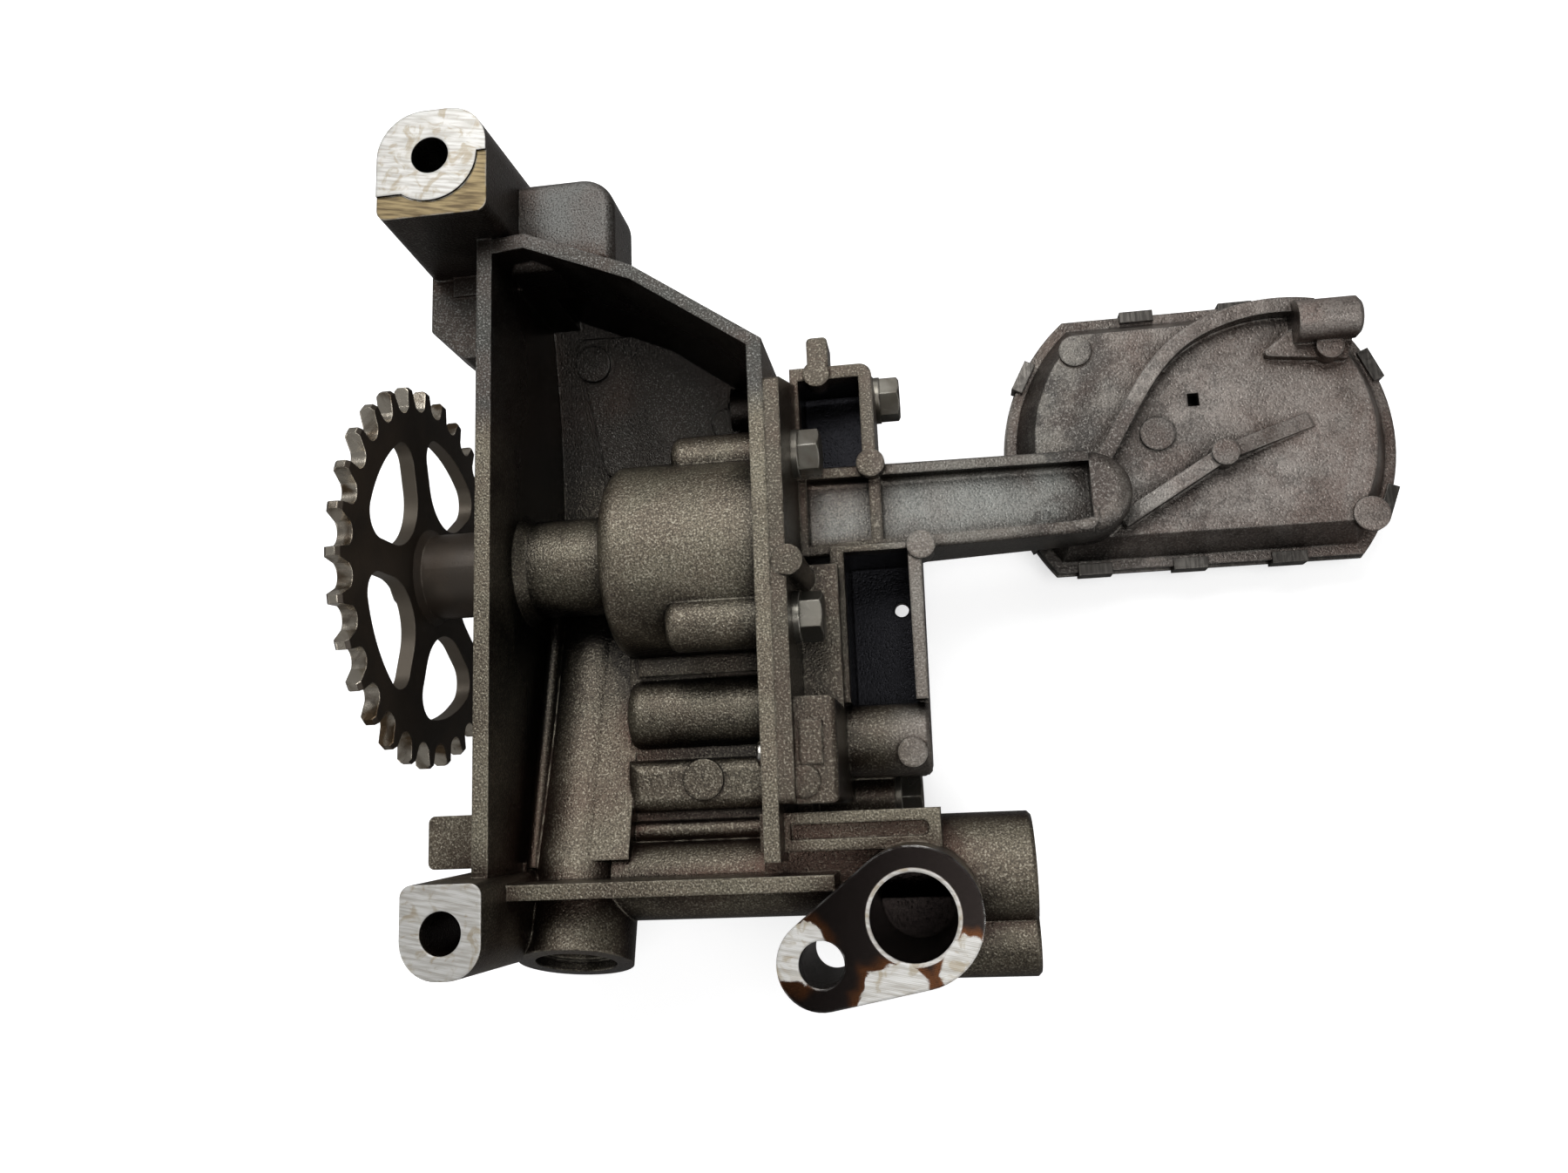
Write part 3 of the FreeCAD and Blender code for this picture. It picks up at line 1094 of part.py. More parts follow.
def relief_piston():
    """Cup-shaped piston with an oil groove and a stop nose."""
    top = VALVE_BORE_TOP_Y - SEAT_GAP
    shoulder = top - PISTON_NOSE_LENGTH
    foot = shoulder - PISTON_LENGTH
    radius = VALVE_BORE - PISTON_FIT
    skirt = rod_y(VALVE_X, VALVE_Z, foot, shoulder, radius)
    nose = rod_y(VALVE_X, VALVE_Z, shoulder, top, PISTON_NOSE_RADIUS)
    hollow = rod_y(VALVE_X, VALVE_Z, foot - OVERRUN, shoulder - PISTON_CROWN, radius - PISTON_WALL)
    start = shoulder - PISTON_GROOVE_PLACE
    band = rod_y(VALVE_X, VALVE_Z, start, start + PISTON_GROOVE_WIDTH, radius + OVERRUN)
    core = rod_y(VALVE_X, VALVE_Z, start, start + PISTON_GROOVE_WIDTH,
                 radius - PISTON_GROOVE_DEPTH)
    return tilted(cut(fuse([skirt, nose]), [hollow, cut(band, [core])]))


def relief_sleeve():
    """Spring sleeve that closes the valve bore, with a groove for its seal."""
    start = sleeve_start()
    radius = VALVE_BORE - PISTON_FIT
    body = rod_y(VALVE_X, VALVE_Z, start, start + SLEEVE_LENGTH, radius)
    hollow = rod_y(VALVE_X, VALVE_Z, start + SLEEVE_FLOOR, start + SLEEVE_LENGTH + OVERRUN,
                   radius - PISTON_WALL)
    vent = rod_y(VALVE_X, VALVE_Z, start - OVERRUN, start + SLEEVE_FLOOR + OVERRUN, SLEEVE_VENT_RADIUS)
    groove_start = start + SEAL_GROOVE_PLACE
    groove_end = groove_start + 2 * O_RING_WIRE
    groove = cut(rod_y(VALVE_X, VALVE_Z, groove_start, groove_end, radius + OVERRUN),
                 [rod_y(VALVE_X, VALVE_Z, groove_start, groove_end, groove_radius())])
    return tilted(cut(body, [hollow, vent, groove]))


def groove_radius():
    """Radius of the bottom of the seal groove."""
    return VALVE_BORE - 2 * O_RING_WIRE + SEAL_SQUEEZE_ROOM


def wire_outline(centre, across, upward, radius, sides):
    """Many-sided outline of a round wire, with flat sides on its two ends across."""
    corner = radius / math.cos(math.pi / sides)
    points = []
    for k in range(sides):
        turn = 2 * math.pi * (k + 0.5) / sides
        points.append(centre + across * (corner * math.cos(turn))
                      + upward * (corner * math.sin(turn)))
    return Part.makePolygon(points + [points[0]])


def relief_o_ring():
    """Rubber ring in the groove of the spring sleeve."""
    middle = sleeve_start() + SEAL_GROOVE_PLACE + O_RING_WIRE
    section = O_RING_WIRE - SEAL_PLAY
    radius = groove_radius() + SEAT_GAP + section
    face = Part.Face(wire_outline(V(VALVE_X + radius, middle, VALVE_Z), V(1, 0, 0),
                                  V(0, 1, 0), section, O_RING_SIDES))
    return tilted(face.revolve(V(VALVE_X, middle, VALVE_Z), V(0, 1, 0), 360))


def relief_circlip():
    """Open spring ring that holds the sleeve in the bore."""
    start = circlip_start()
    end = start + CIRCLIP_THICKNESS
    past = (start - OVERRUN, end + OVERRUN)
    outer = VALVE_BORE + CIRCLIP_GROOVE - CIRCLIP_SIDE_PLAY
    ring = rod_y(VALVE_X, VALVE_Z, start, end, outer)
    hole = rod_y(VALVE_X, VALVE_Z, *past, outer - CIRCLIP_WIDTH)
    ears = []
    for side in (-1, 1):
        x = VALVE_X + side * CIRCLIP_EAR_SPACING
        z = VALVE_Z + outer - CIRCLIP_EAR_DROP
        ears.append((rod_y(x, z, start, end, CIRCLIP_EAR_RADIUS),
                     rod_y(x, z, *past, CIRCLIP_EYE_RADIUS)))
    ring = fuse([cut(ring, [hole])] + [ear for ear, eye in ears])
    opening = box((VALVE_X - CIRCLIP_OPENING / 2, VALVE_X + CIRCLIP_OPENING / 2), past,
                  (VALVE_Z + outer - 2 * CIRCLIP_EAR_DROP, VALVE_Z + outer + OVERRUN))
    return tilted(cut(ring, [opening] + [eye for ear, eye in ears]))


def spring_ends():
    """Y of the two ends of the relief spring."""
    low = sleeve_start() + SLEEVE_FLOOR
    high = (VALVE_BORE_TOP_Y - SEAT_GAP - PISTON_NOSE_LENGTH - PISTON_CROWN)
    return low, high


def relief_spring():
    """Compression spring between the sleeve and the piston."""
    low, high = spring_ends()
    length = high - low - 2 * SPRING_WIRE
    helix = Part.makeHelix(length / SPRING_TURNS, length, SPRING_RADIUS)
    section = wire_outline(V(SPRING_RADIUS, 0, 0), V(0, 0, 1), V(1, 0, 0), SPRING_WIRE,
                           SPRING_SIDES)
    coil = Part.Wire(helix).makePipeShell([section], True, True)
    coil.rotate(V(0, 0, 0), V(1, 0, 0), -90)
    coil.translate(V(VALVE_X, low + SPRING_WIRE, VALVE_Z))
    return tilted(coil)


def gallery_plug():
    """Pressed cup plug that closes the end of the gallery."""
    start = GALLERY_END_X - PLUG_DEPTH - PLUG_RECESS
    cup = rod_x(GALLERY_Y, GALLERY_Z, start, start + PLUG_DEPTH, PLUG_RADIUS)
    hollow = rod_x(GALLERY_Y, GALLERY_Z, start + PLUG_WALL, start + PLUG_DEPTH + OVERRUN,
                   PLUG_RADIUS - PLUG_WALL)
    cup = cut(cup, [hollow])
    return cup


# Cover, suction arm and bell

def arm_section(x, inset, top_drop, bottom_drop):
    """Cross-section of the arm at one place along its length."""
    share = (x - JOINT_X) / (ARM_END_X - JOINT_X)
    y = ARM_START[0] + (ARM_END[0] - ARM_START[0]) * share
    top = ARM_START[1] + (ARM_END[1] - ARM_START[1]) * share
    width = ARM_WIDTH + (ARM_END_WIDTH - ARM_WIDTH) * share
    half = width / 2 - inset
    corners = [V(x, y - half, top - top_drop), V(x, y + half, top - top_drop),
               V(x, y + half, top - bottom_drop), V(x, y - half, top - bottom_drop)]
    return corners


def arm_part(x0, x1, inset, top_drop, bottom_drops, radius):
    """Piece of the arm between two places, between two depths below the ribs."""
    wires = []
    for x, bottom in zip((x0, x1), bottom_drops):
        corners = arm_section(x, inset, top_drop, bottom)
        wires.append(rounded_wire(corners, [radius] * 4))
    return Part.makeLoft(wires, True, True)


def arm_outside():
    """Outer shape of the arm and its round nose on the bell."""
    tube = arm_part(JOINT_X + OVERRUN, ARM_END_X, 0, 0, (ARM_DEPTH, ARM_END_DEPTH), ARM_CORNER)
    nose = rod_z(ARM_END_X, ARM_END[0], BELL_TOP_Z - OVERRUN, ARM_END[1], ARM_END_WIDTH / 2)
    nose = soften(nose, ARM_NOSE_EDGE_RADIUS, at_z(ARM_END[1]))
    tip_x, tip_y, tip_drop = ARM_TIP
    tip = box((ARM_END_X - tip_x, ARM_END_X), (ARM_END[0] - tip_y, ARM_END[0] + tip_y),
              (BELL_TOP_Z - OVERRUN, ARM_END[1] - tip_drop))
    return [tube, nose, tip]


def arm_hollows():
    """Channel on the upper side and the suction passage inside."""
    depths = (ARM_CHANNEL_DEPTH, ARM_CHANNEL_DEPTH)
    first = arm_part(JOINT_X + FLANGE_THICKNESS + ARM_CHANNEL_START, ARM_DIVIDER_X[0], ARM_RIB,
                     -OVERRUN, depths, ARM_CHANNEL_CORNER)
    second = arm_part(ARM_DIVIDER_X[1], ARM_END_X, ARM_RIB, -OVERRUN, depths,
                      ARM_CHANNEL_CORNER)
    inset = (ARM_WIDTH - ARM_PASSAGE_WIDTH) / 2
    bottom = ARM_PASSAGE_DROP + ARM_PASSAGE_HEIGHT
    passage = arm_part(JOINT_X - OVERRUN, ARM_END_X, inset, ARM_PASSAGE_DROP, (bottom, bottom), 0)
    drop = rod_z(ARM_END_X, ARM_END[0], BELL_RIM_Z, ARM_END[1] - ARM_PASSAGE_DROP,
                 ARM_PASSAGE_WIDTH / 2)
    return [first, second, passage, drop]


def bell_wire(inset, z):
    """Round outline of the bell with its two flats, moved in by the inset."""
    radius = BELL_RADIUS - inset
    low = BELL_LOW_Y + inset - BELL_Y
    high = BELL_HIGH_Y - inset - BELL_Y
    low_x = math.sqrt(radius ** 2 - low ** 2)
    high_x = math.sqrt(radius ** 2 - high ** 2)
    centre = V(BELL_X, BELL_Y, z)
    right = Part.Arc(centre + V(low_x, low, 0), centre + V(radius, 0, 0),
                     centre + V(high_x, high, 0)).toShape()
    left = Part.Arc(centre + V(-high_x, high, 0), centre + V(-radius, 0, 0),
                    centre + V(-low_x, low, 0)).toShape()
    top = Part.makeLine(centre + V(high_x, high, 0), centre + V(-high_x, high, 0))
    bottom = Part.makeLine(centre + V(-low_x, low, 0), centre + V(low_x, low, 0))
    return Part.Wire([right, top, left, bottom])


def bell_plate(inset, z0, z1):
    """Flat plate with the outline of the bell."""
    return Part.Face(bell_wire(inset, z0)).extrude(V(0, 0, z1 - z0))


def bell_outside():
    """Ledge and sloping hood of the bell."""
    ledge_top = BELL_RIM_Z + BELL_LEDGE
    ledge = bell_plate(0, BELL_RIM_Z, ledge_top)
    hood = Part.makeLoft([bell_wire(BELL_LEDGE_WIDTH, ledge_top),
                          bell_wire(BELL_LEDGE_WIDTH + BELL_BEVEL, BELL_TOP_Z)], True, True)
    return [ledge, hood]


def bell_hollow():
    """Room under the hood."""
    inset = BELL_LEDGE_WIDTH + BELL_WALL
    foot = bell_plate(inset, BELL_RIM_Z - OVERRUN, BELL_RIM_Z + BELL_LEDGE)
    room = Part.makeLoft([bell_wire(inset, BELL_RIM_Z + BELL_LEDGE),
                          bell_wire(inset + BELL_BEVEL, BELL_TOP_Z - BELL_WALL)], True, True)
    return fuse([foot, room])


def from_bell(points):
    """Points that are given from the centre of the bell."""
    return [(BELL_X + x, BELL_Y + y) for x, y in points]


def curved_rib():
    """Upright rib that bends from the arm to the bracket lug."""
    middle = Part.BSplineCurve()
    middle.interpolate([V(x, y, BELL_TOP_Z - OVERRUN) for x, y in from_bell(CURVED_RIB)])
    first, last = middle.FirstParameter, middle.LastParameter
    sides = []
    for sign in (1, -1):
        points = []
        for k in range(CURVED_RIB_STATIONS + 1):
            place = first + (last - first) * k / CURVED_RIB_STATIONS
            along = middle.tangent(place)[0]
            across = V(-along.y, along.x, 0) * (sign * BELL_RIB_WIDTH / 2)
            points.append(middle.value(place) + across)
        side = Part.BSplineCurve()
        side.interpolate(points)
        sides.append((side.toShape(), points))
    left, right = sides
    edges = [left[0], Part.makeLine(left[1][-1], right[1][-1]), right[0],
             Part.makeLine(right[1][0], left[1][0])]
    face = Part.Face(Part.Wire(Part.__sortEdges__(edges)))
    return face.extrude(V(0, 0, BELL_RIB_Z - BELL_TOP_Z + OVERRUN))


def straight_rib():
    """Rib that tapers away from the nose over the bell."""
    start, middle, end = from_bell(STRAIGHT_RIB)
    pieces = []
    for near, far, height in ((start, middle, 0.0), (middle, end, STRAIGHT_RIB_FALL)):
        run = V(far[0] - near[0], far[1] - near[1], 0)
        side = V(-run.y, run.x, 0).normalize() * (BELL_RIB_WIDTH / 2)
        a = V(near[0], near[1], BELL_TOP_Z - OVERRUN) - side
        b = V(far[0], far[1], BELL_TOP_Z - OVERRUN) - side
        top_a = V(a.x, a.y, BELL_RIB_Z)
        top_b = V(b.x, b.y, BELL_RIB_Z - height)
        face = Part.Face(Part.makePolygon([a, b, top_b, top_a, a]))
        pieces.append(face.extrude(side * 2))
    return pieces


def bracket_lug():
    """Round lug at the outer corner of the bell for its support bracket."""
    start, end = BRACKET_LUG_X
    bar = rod_x(BRACKET_LUG_Y, BRACKET_LUG_Z, start, end, BRACKET_LUG_RADIUS)
    bar = bevel(bar, BRACKET_LUG_BEVEL, at_x(end))
    near, far, side = BRACKET_FOOT_INSETS
    half = BRACKET_LUG_RADIUS - side
    foot = box((start + near, end - far), (BRACKET_LUG_Y - half, BRACKET_LUG_Y + half),
               (BELL_TOP_Z - BRACKET_ROOT, BRACKET_LUG_Z))
    web_plate = prism_z(from_bell(BRACKET_WEB), [1, 1, 1, 1], BELL_TOP_Z - BRACKET_ROOT,
                        BRACKET_LUG_Z - BRACKET_WEB_DROP)
    return [bar, foot, web_plate]


def flange_solid():
    """Flat flange of the cover on the joint face."""
    wide = FLANGE_TOP_Y + FLANGE_SHOULDER
    low = FLANGE_BOTTOM_Y - FLANGE_FOOT
    outline = [(FLANGE_BOTTOM_Y, RIM_Z), (FLANGE_TOP_Y, RIM_Z), (wide, -44.0),
               (wide, WALL_BACK_Z), (110.0, JOINT_BACK_Z), (32.0, JOINT_BACK_Z),
               (low, WALL_BACK_Z), (low, -48.0), (FLANGE_BOTTOM_Y, -43.0)]
    corners = [V(JOINT_X, y, z) for y, z in outline]
    wire = rounded_wire(corners, FLANGE_CORNER_RADII)
    return Part.Face(wire).extrude(V(FLANGE_THICKNESS, 0, 0))


def upper_box():
    """Open box above the arm, with its rim, post and screw tube."""
    face = JOINT_X + FLANGE_THICKNESS
    outline = ((face - OVERRUN, UPPER_BOX_BOTTOM_Y), (UPPER_BOX_RIGHT_X, UPPER_BOX_BOTTOM_Y),
               (UPPER_BOX_RIGHT_X, UPPER_BOX_TOP_Y), (face - OVERRUN, UPPER_BOX_TOP_Y))
    outer = prism_z(outline, [0, 0, BOX_CORNER, 0], UPPER_BOX_BACK_Z, COVER_RIM_Z)
    room = box((face + OVERRUN, UPPER_BOX_RIGHT_X - UPPER_BOX_WALL),
               (UPPER_BOX_BOTTOM_Y - OVERRUN, UPPER_BOX_TOP_Y - UPPER_BOX_WALL),
               (UPPER_BOX_BACK_Z + UPPER_BOX_FLOOR, COVER_RIM_Z + OVERRUN))
    post = prism_z(((POST_X[0], UPPER_BOX_TOP_Y - 2), (POST_X[1], UPPER_BOX_TOP_Y - 2),
                    (POST_X[1], POST_TOP_Y), (POST_X[0], POST_TOP_Y)),
                   [0, 0, POST_CORNER, POST_CORNER], POST_BACK_Z, COVER_RIM_Z)
    return outer, room, post


def lower_block():
    """Solid block beside the flange below the arm."""
    face = JOINT_X + FLANGE_THICKNESS - 1
    low = box((face, LOWER_BLOCK_RIGHT_X), (FLANGE_BOTTOM_Y, LOWER_BLOCK_STEP_Y),
              (LOWER_BLOCK_FRONT_Z, LOWER_BOX_BACK_Z))
    low = soften(low, LOWER_BLOCK_EDGE_RADIUS, at_x(LOWER_BLOCK_RIGHT_X))
    deep = box((face, LOWER_BLOCK_RIGHT_X), (LOWER_BLOCK_STEP_Y - 3, LOWER_BLOCK_TOP_Y),
               (LOWER_BLOCK_DEEP_Z, LOWER_BOX_BACK_Z))
    pad_x = STEP_PAD[:2]
    pad_y = STEP_PAD[2:]
    pad = box(pad_x, pad_y, (LOWER_BLOCK_FRONT_Z - 2, LOWER_BLOCK_FRONT_Z + STEP_PAD_HEIGHT))
    return [low, deep, pad]


def lower_box():
    """Open box below the arm and the round boss at its lower end."""
    left = LOWER_BLOCK_RIGHT_X - 2
    end = LOWER_BOX_RIGHT_X - LOWER_BOX_TAPER
    outline = ((left, LOWER_BOX_BOTTOM_Y), (end, LOWER_BOX_BOTTOM_Y),
               (LOWER_BOX_RIGHT_X, LOWER_BOX_TOP_Y), (left, LOWER_BOX_TOP_Y))
    outer = prism_z(outline, [0, BOX_CORNER, 0, 0], LOWER_BOX_BACK_Z,
                    COVER_RIM_Z - LOWER_BOSS_RADIUS)
    rim_end = LOWER_BOX_RIGHT_X - LOWER_BOX_TAPER * 2 / 3
    rim = prism_z(((left, LOWER_BOSS_TOP_Y), (rim_end, LOWER_BOSS_TOP_Y),
                   (LOWER_BOX_RIGHT_X, LOWER_BOX_TOP_Y), (left, LOWER_BOX_TOP_Y)),
                  [0, 0, 0, 0], COVER_RIM_Z - LOWER_BOSS_RADIUS, COVER_RIM_Z)
    boss_y = (LOWER_BOX_BOTTOM_Y + LOWER_BOSS_TOP_Y) / 2
    boss = rod_x(boss_y, COVER_RIM_Z - LOWER_BOSS_RADIUS, left, end, LOWER_BOSS_RADIUS)
    boss = bevel(boss, LOWER_BOSS_BEVEL, at_x(end))
    room = box((LOWER_BLOCK_RIGHT_X + LOWER_BOX_INNER_WALL, LOWER_BOX_RIGHT_X - LOWER_BOX_WALL),
               (LOWER_BOSS_TOP_Y, ARM_START[0] - ARM_WIDTH / 2 + OVERRUN),
               (LOWER_BOX_BACK_Z + UPPER_BOX_FLOOR, COVER_RIM_Z + OVERRUN))
    vent = rod_z(VENT_X, VENT_Y, LOWER_BOX_BACK_Z - OVERRUN, COVER_RIM_Z, VENT_RADIUS)
    return [outer, rim, boss], [room, vent]


def bolt_tubes():
    """Cast tubes round the two long bolts."""
    face = JOINT_X + FLANGE_THICKNESS - 1
    tubes = []
    for y in BOX_BOLT_YS:
        tubes.append(rod_x(y, BOX_BOLT_Z, face, BOX_BOLT_SEAT_X, BOX_BOSS_RADIUS))
    return tubes


def casting_pads():
    """Round ejector pads standing on the ribs and on the bell."""
    pads = []
    for x, y, radius, top in CASTING_PADS:
        pads.append(rod_z(x, y, min(top - PAD_ROOT, COVER_RIM_Z - PAD_RIM_ROOT), top, radius))
    for x, y, radius, top in BELL_PADS:
        pads.append(rod_z(BELL_X + x, BELL_Y + y, min(top, BELL_TOP_Z) - OVERRUN, top, radius))
    return pads


def cover_holes():
    """Bolt holes, dowel holes and the suction port of the cover."""
    face = JOINT_X + FLANGE_THICKNESS
    tools = []
    for angle in COVER_BOLT_ANGLES:
        y, z = on_circle(angle, COVER_BOLT_CIRCLE)
        tools.append(rod_x(y, z, JOINT_X - OVERRUN, face + OVERRUN, BOLT_HOLE_RADIUS))
        tools.append(rod_x(y, z, face, face + HEAD_ROOM, WASHER_RADIUS + WASHER_ROOM))
    y, z = on_circle(COVER_BOLT_ANGLES[2], COVER_BOLT_CIRCLE)
    room = WASHER_RADIUS + WASHER_ROOM
    tools.append(box((face, face + HEAD_ROOM), (y - room, y + room), (z, z - HIDDEN_BOLT_ROOM)))
    for y in BOX_BOLT_YS:
        tools.append(rod_x(y, BOX_BOLT_Z, JOINT_X - OVERRUN, BOX_BOLT_SEAT_X + OVERRUN, BOLT_HOLE_RADIUS))
        tools.append(rod_x(y, BOX_BOLT_Z, BOX_BOLT_SEAT_X, BOX_BOLT_SEAT_X + BOX_HEAD_ROOM,
                           WASHER_RADIUS + WASHER_ROOM))
    for y, z in DOWEL_POINTS:
        tools.append(rod_x(y, z, JOINT_X - OVERRUN, JOINT_X + DOWEL_COVER_DEPTH,
                           DOWEL_RADIUS + PRESS_CLEARANCE))
    tools.append(port_pocket(1, JOINT_X - OVERRUN, JOINT_X + SUCTION_PORT_DEPTH))
    return tools


def pump_cover():
    """Cover, suction arm and bell in one casting."""
    outer_box, box_room, post = upper_box()
    lower_solids, lower_rooms = lower_box()
    bell_pieces = cut(fuse(bell_outside()), [bell_hollow()])
    boxes = cut(fuse([outer_box] + lower_solids), [box_room] + lower_rooms)
    solid = fuse([boxes, flange_solid(), post] + lower_block() + bolt_tubes() + arm_outside())
    solid = fuse([solid, bell_pieces, curved_rib()] + straight_rib() + bracket_lug()
                 + casting_pads())
    sight = box([BELL_X + x for x in SIGHT_HOLE[0]], [BELL_Y + y for y in SIGHT_HOLE[1]],
                (BELL_RIM_Z, BELL_TOP_Z + OVERRUN))
    return cut(solid, arm_hollows() + cover_holes() + [sight, lower_rooms[1]])


def strainer_screen():
    """Perforated sheet across the mouth of the bell."""
    sheet = bell_plate(SCREEN_INSET, BELL_RIM_Z - SCREEN_SHEET, BELL_RIM_Z)
    limit = BELL_RADIUS - SCREEN_OPENING_MARGIN - SCREEN_HOLE
    holes = []
    columns = int(BELL_RADIUS / SCREEN_PITCH)
    for i in range(-columns, columns + 1):
        for j in range(-columns, columns + 1):
            x = BELL_X + i * SCREEN_PITCH
            y = (BELL_LOW_Y + BELL_HIGH_Y) / 2 + j * SCREEN_PITCH
            inside = math.hypot(x - BELL_X, y - BELL_Y) < limit
            low_side = y - BELL_LOW_Y > SCREEN_OPENING_MARGIN + SCREEN_HOLE / 2
            high_side = BELL_HIGH_Y - y > SCREEN_OPENING_MARGIN + SCREEN_HOLE / 2
            if inside and low_side and high_side:
                half = SCREEN_HOLE / 2
                holes.append(box((x - half, x + half), (y - half, y + half),
                                 (BELL_RIM_Z - 2 * OVERRUN, BELL_RIM_Z + OVERRUN)))
    return cut(sheet, holes)


def tab(x, y, turn):
    """Folded tab: a leg up the side of the ledge and a lip over it."""
    base = BELL_RIM_Z - SCREEN_SHEET - SHEET
    top = BELL_RIM_Z + BELL_LEDGE + TAB_GAP
    half = TAB_LENGTH / 2
    leg = box((-half, half), (TAB_GAP, TAB_GAP + SHEET), (base, top + SHEET))
    lip = box((-half, half), (-TAB_LIP, TAB_GAP + SHEET), (top, top + SHEET))
    piece = fuse([leg, lip])
    piece.rotate(V(0, 0, 0), V(0, 0, 1), turn)
    piece.translate(V(x, y, 0))
    return piece


def strainer_plate():
    """Sheet ring with cross bars under the screen, held by its folded tabs."""
    top = BELL_RIM_Z - SCREEN_SHEET
    ring = bell_plate(-PLATE_OVERHANG, top - SHEET, top)
    opening = bell_plate(SCREEN_OPENING_MARGIN, top - SHEET - OVERRUN, top + OVERRUN)
    bars = box((BELL_X - CROSS_BAR / 2, BELL_X + CROSS_BAR / 2), (BELL_LOW_Y, BELL_HIGH_Y),
               (top - SHEET, top))
    pieces = [cut(ring, [opening]), bars]
    pieces += [tab(BELL_X + x, BELL_LOW_Y, 180) for x in LOW_TABS]
    pieces += [tab(BELL_X + x, BELL_HIGH_Y, 0) for x in HIGH_TABS]
    for angle in ROUND_TABS:
        turn = math.radians(angle)
        pieces.append(tab(BELL_X + BELL_RADIUS * math.cos(turn),
                          BELL_Y + BELL_RADIUS * math.sin(turn), angle - 90))
    return fuse(pieces)


# Fasteners

def bolt(y, z, seat, length, turn):
    """Hexagon bolt along X with its head on a washer at the seat."""
    head_start = seat + WASHER_THICKNESS
    shank = rod_x(y, z, seat - length, head_start + OVERRUN, BOLT_RADIUS)
    shank = bevel(shank, BOLT_END_BEVEL, at_x(seat - length))
    head = hexagon_x(y, z, head_start, head_start + BOLT_HEAD_HEIGHT,
                     BOLT_HEAD_ACROSS_FLATS, turn)
    return fuse([shank, head])


def washer(y, z, seat):
    """Flat washer on a seat across X."""
    disc = rod_x(y, z, seat, seat + WASHER_THICKNESS, WASHER_RADIUS)
    hole = rod_x(y, z, seat - OVERRUN, seat + WASHER_THICKNESS + OVERRUN, BOLT_HOLE_RADIUS)
    return cut(disc, [hole])


def cover_bolts():
    """Three short bolts round the rotor chamber."""
    seat = JOINT_X + FLANGE_THICKNESS
    bolts = []
    for angle, turn in zip(COVER_BOLT_ANGLES, COVER_BOLT_TURNS):
        y, z = on_circle(angle, COVER_BOLT_CIRCLE)
        bolts.append(bolt(y, z, seat, FLANGE_THICKNESS + THREAD_DEPTH, turn))
    return Part.makeCompound(bolts)


def cover_washers():
    """Washers under the three short bolts."""
    seat = JOINT_X + FLANGE_THICKNESS
    washers = []
    for angle in COVER_BOLT_ANGLES:
        y, z = on_circle(angle, COVER_BOLT_CIRCLE)
        washers.append(washer(y, z, seat))
    return Part.makeCompound(washers)


def box_bolts():
    """Two long bolts through the tubes of the boxes."""
    bolts = []
    for y in BOX_BOLT_YS:
        bolts.append(bolt(y, BOX_BOLT_Z, BOX_BOLT_SEAT_X,
                          BOX_BOLT_SEAT_X - JOINT_X + THREAD_DEPTH, 0))
    return Part.makeCompound(bolts)


def box_washers():
    """Washers under the two long bolts."""
    return Part.makeCompound([washer(y, BOX_BOLT_Z, BOX_BOLT_SEAT_X) for y in BOX_BOLT_YS])


def joint_dowels():
    """Two dowel pins that line the cover up with the body."""
    pins = []
    for y, z in DOWEL_POINTS:
        end = JOINT_X + DOWEL_COVER_DEPTH - DOWEL_END_GAP
        start = end - DOWEL_LENGTH
        pin = rod_x(y, z, start, end, DOWEL_RADIUS)
        pins.append(bevel(pin, DOWEL_BEVEL, at_x(start)))
    return Part.makeCompound(pins)


NODES = {
    "pump_body": pump_body,
    "pump_cover": pump_cover,
    "strainer_plate": strainer_plate,
    "strainer_screen": strainer_screen,
    "cover_bolts": cover_bolts,
    "cover_washers": cover_washers,
    "box_bolts": box_bolts,
    "box_washers": box_washers,
    "joint_dowels": joint_dowels,
    "shaft_bushes": shaft_bushes,
    "drive_shaft": drive_shaft,
    "drive_sprocket": drive_sprocket,
    "sprocket_washer": sprocket_washer,
    "sprocket_nut": sprocket_nut,
    "inner_rotor": inner_rotor,
    "outer_rotor": outer_rotor,
    "relief_piston": relief_piston,
    "relief_spring": relief_spring,
    "relief_sleeve": relief_sleeve,
    "relief_o_ring": relief_o_ring,
    "relief_circlip": relief_circlip,
    "gallery_plug": gallery_plug,
}

os.makedirs("parts", exist_ok=True)
for name, build in NODES.items():
    build().exportStep("parts/" + name + ".step")
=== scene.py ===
import math

import bpy
from mathutils import Matrix, Vector


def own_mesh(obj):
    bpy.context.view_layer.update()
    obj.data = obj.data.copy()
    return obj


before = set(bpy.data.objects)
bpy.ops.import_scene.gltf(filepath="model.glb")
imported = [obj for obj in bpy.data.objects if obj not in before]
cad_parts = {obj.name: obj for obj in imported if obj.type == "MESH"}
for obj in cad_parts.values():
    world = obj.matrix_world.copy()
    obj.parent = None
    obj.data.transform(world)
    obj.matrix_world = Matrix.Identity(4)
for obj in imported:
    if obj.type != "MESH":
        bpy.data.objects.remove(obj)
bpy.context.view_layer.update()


# Body casting.
# Die-cast aluminium frame with the rotor housing, the mounting bosses and the oil gallery.
# Sand-blasted skin darkened by hot oil and by painted shade on upright walls, in corners and in deep
# recesses, milled only on the plane that meets the crankcase.

CAST_OLIVE = (0.140, 0.123, 0.087, 1)
CAST_SHADE = (0.016, 0.014, 0.012, 1)
CAST_CHARCOAL = (0.036, 0.037, 0.034, 1)
CAST_SILVER = (0.125, 0.125, 0.118, 1)
GREY_FLECK = (0.170, 0.172, 0.165, 1)
CAST_RUST_AND_SHADE_BROWN = (0.075, 0.042, 0.030, 1)
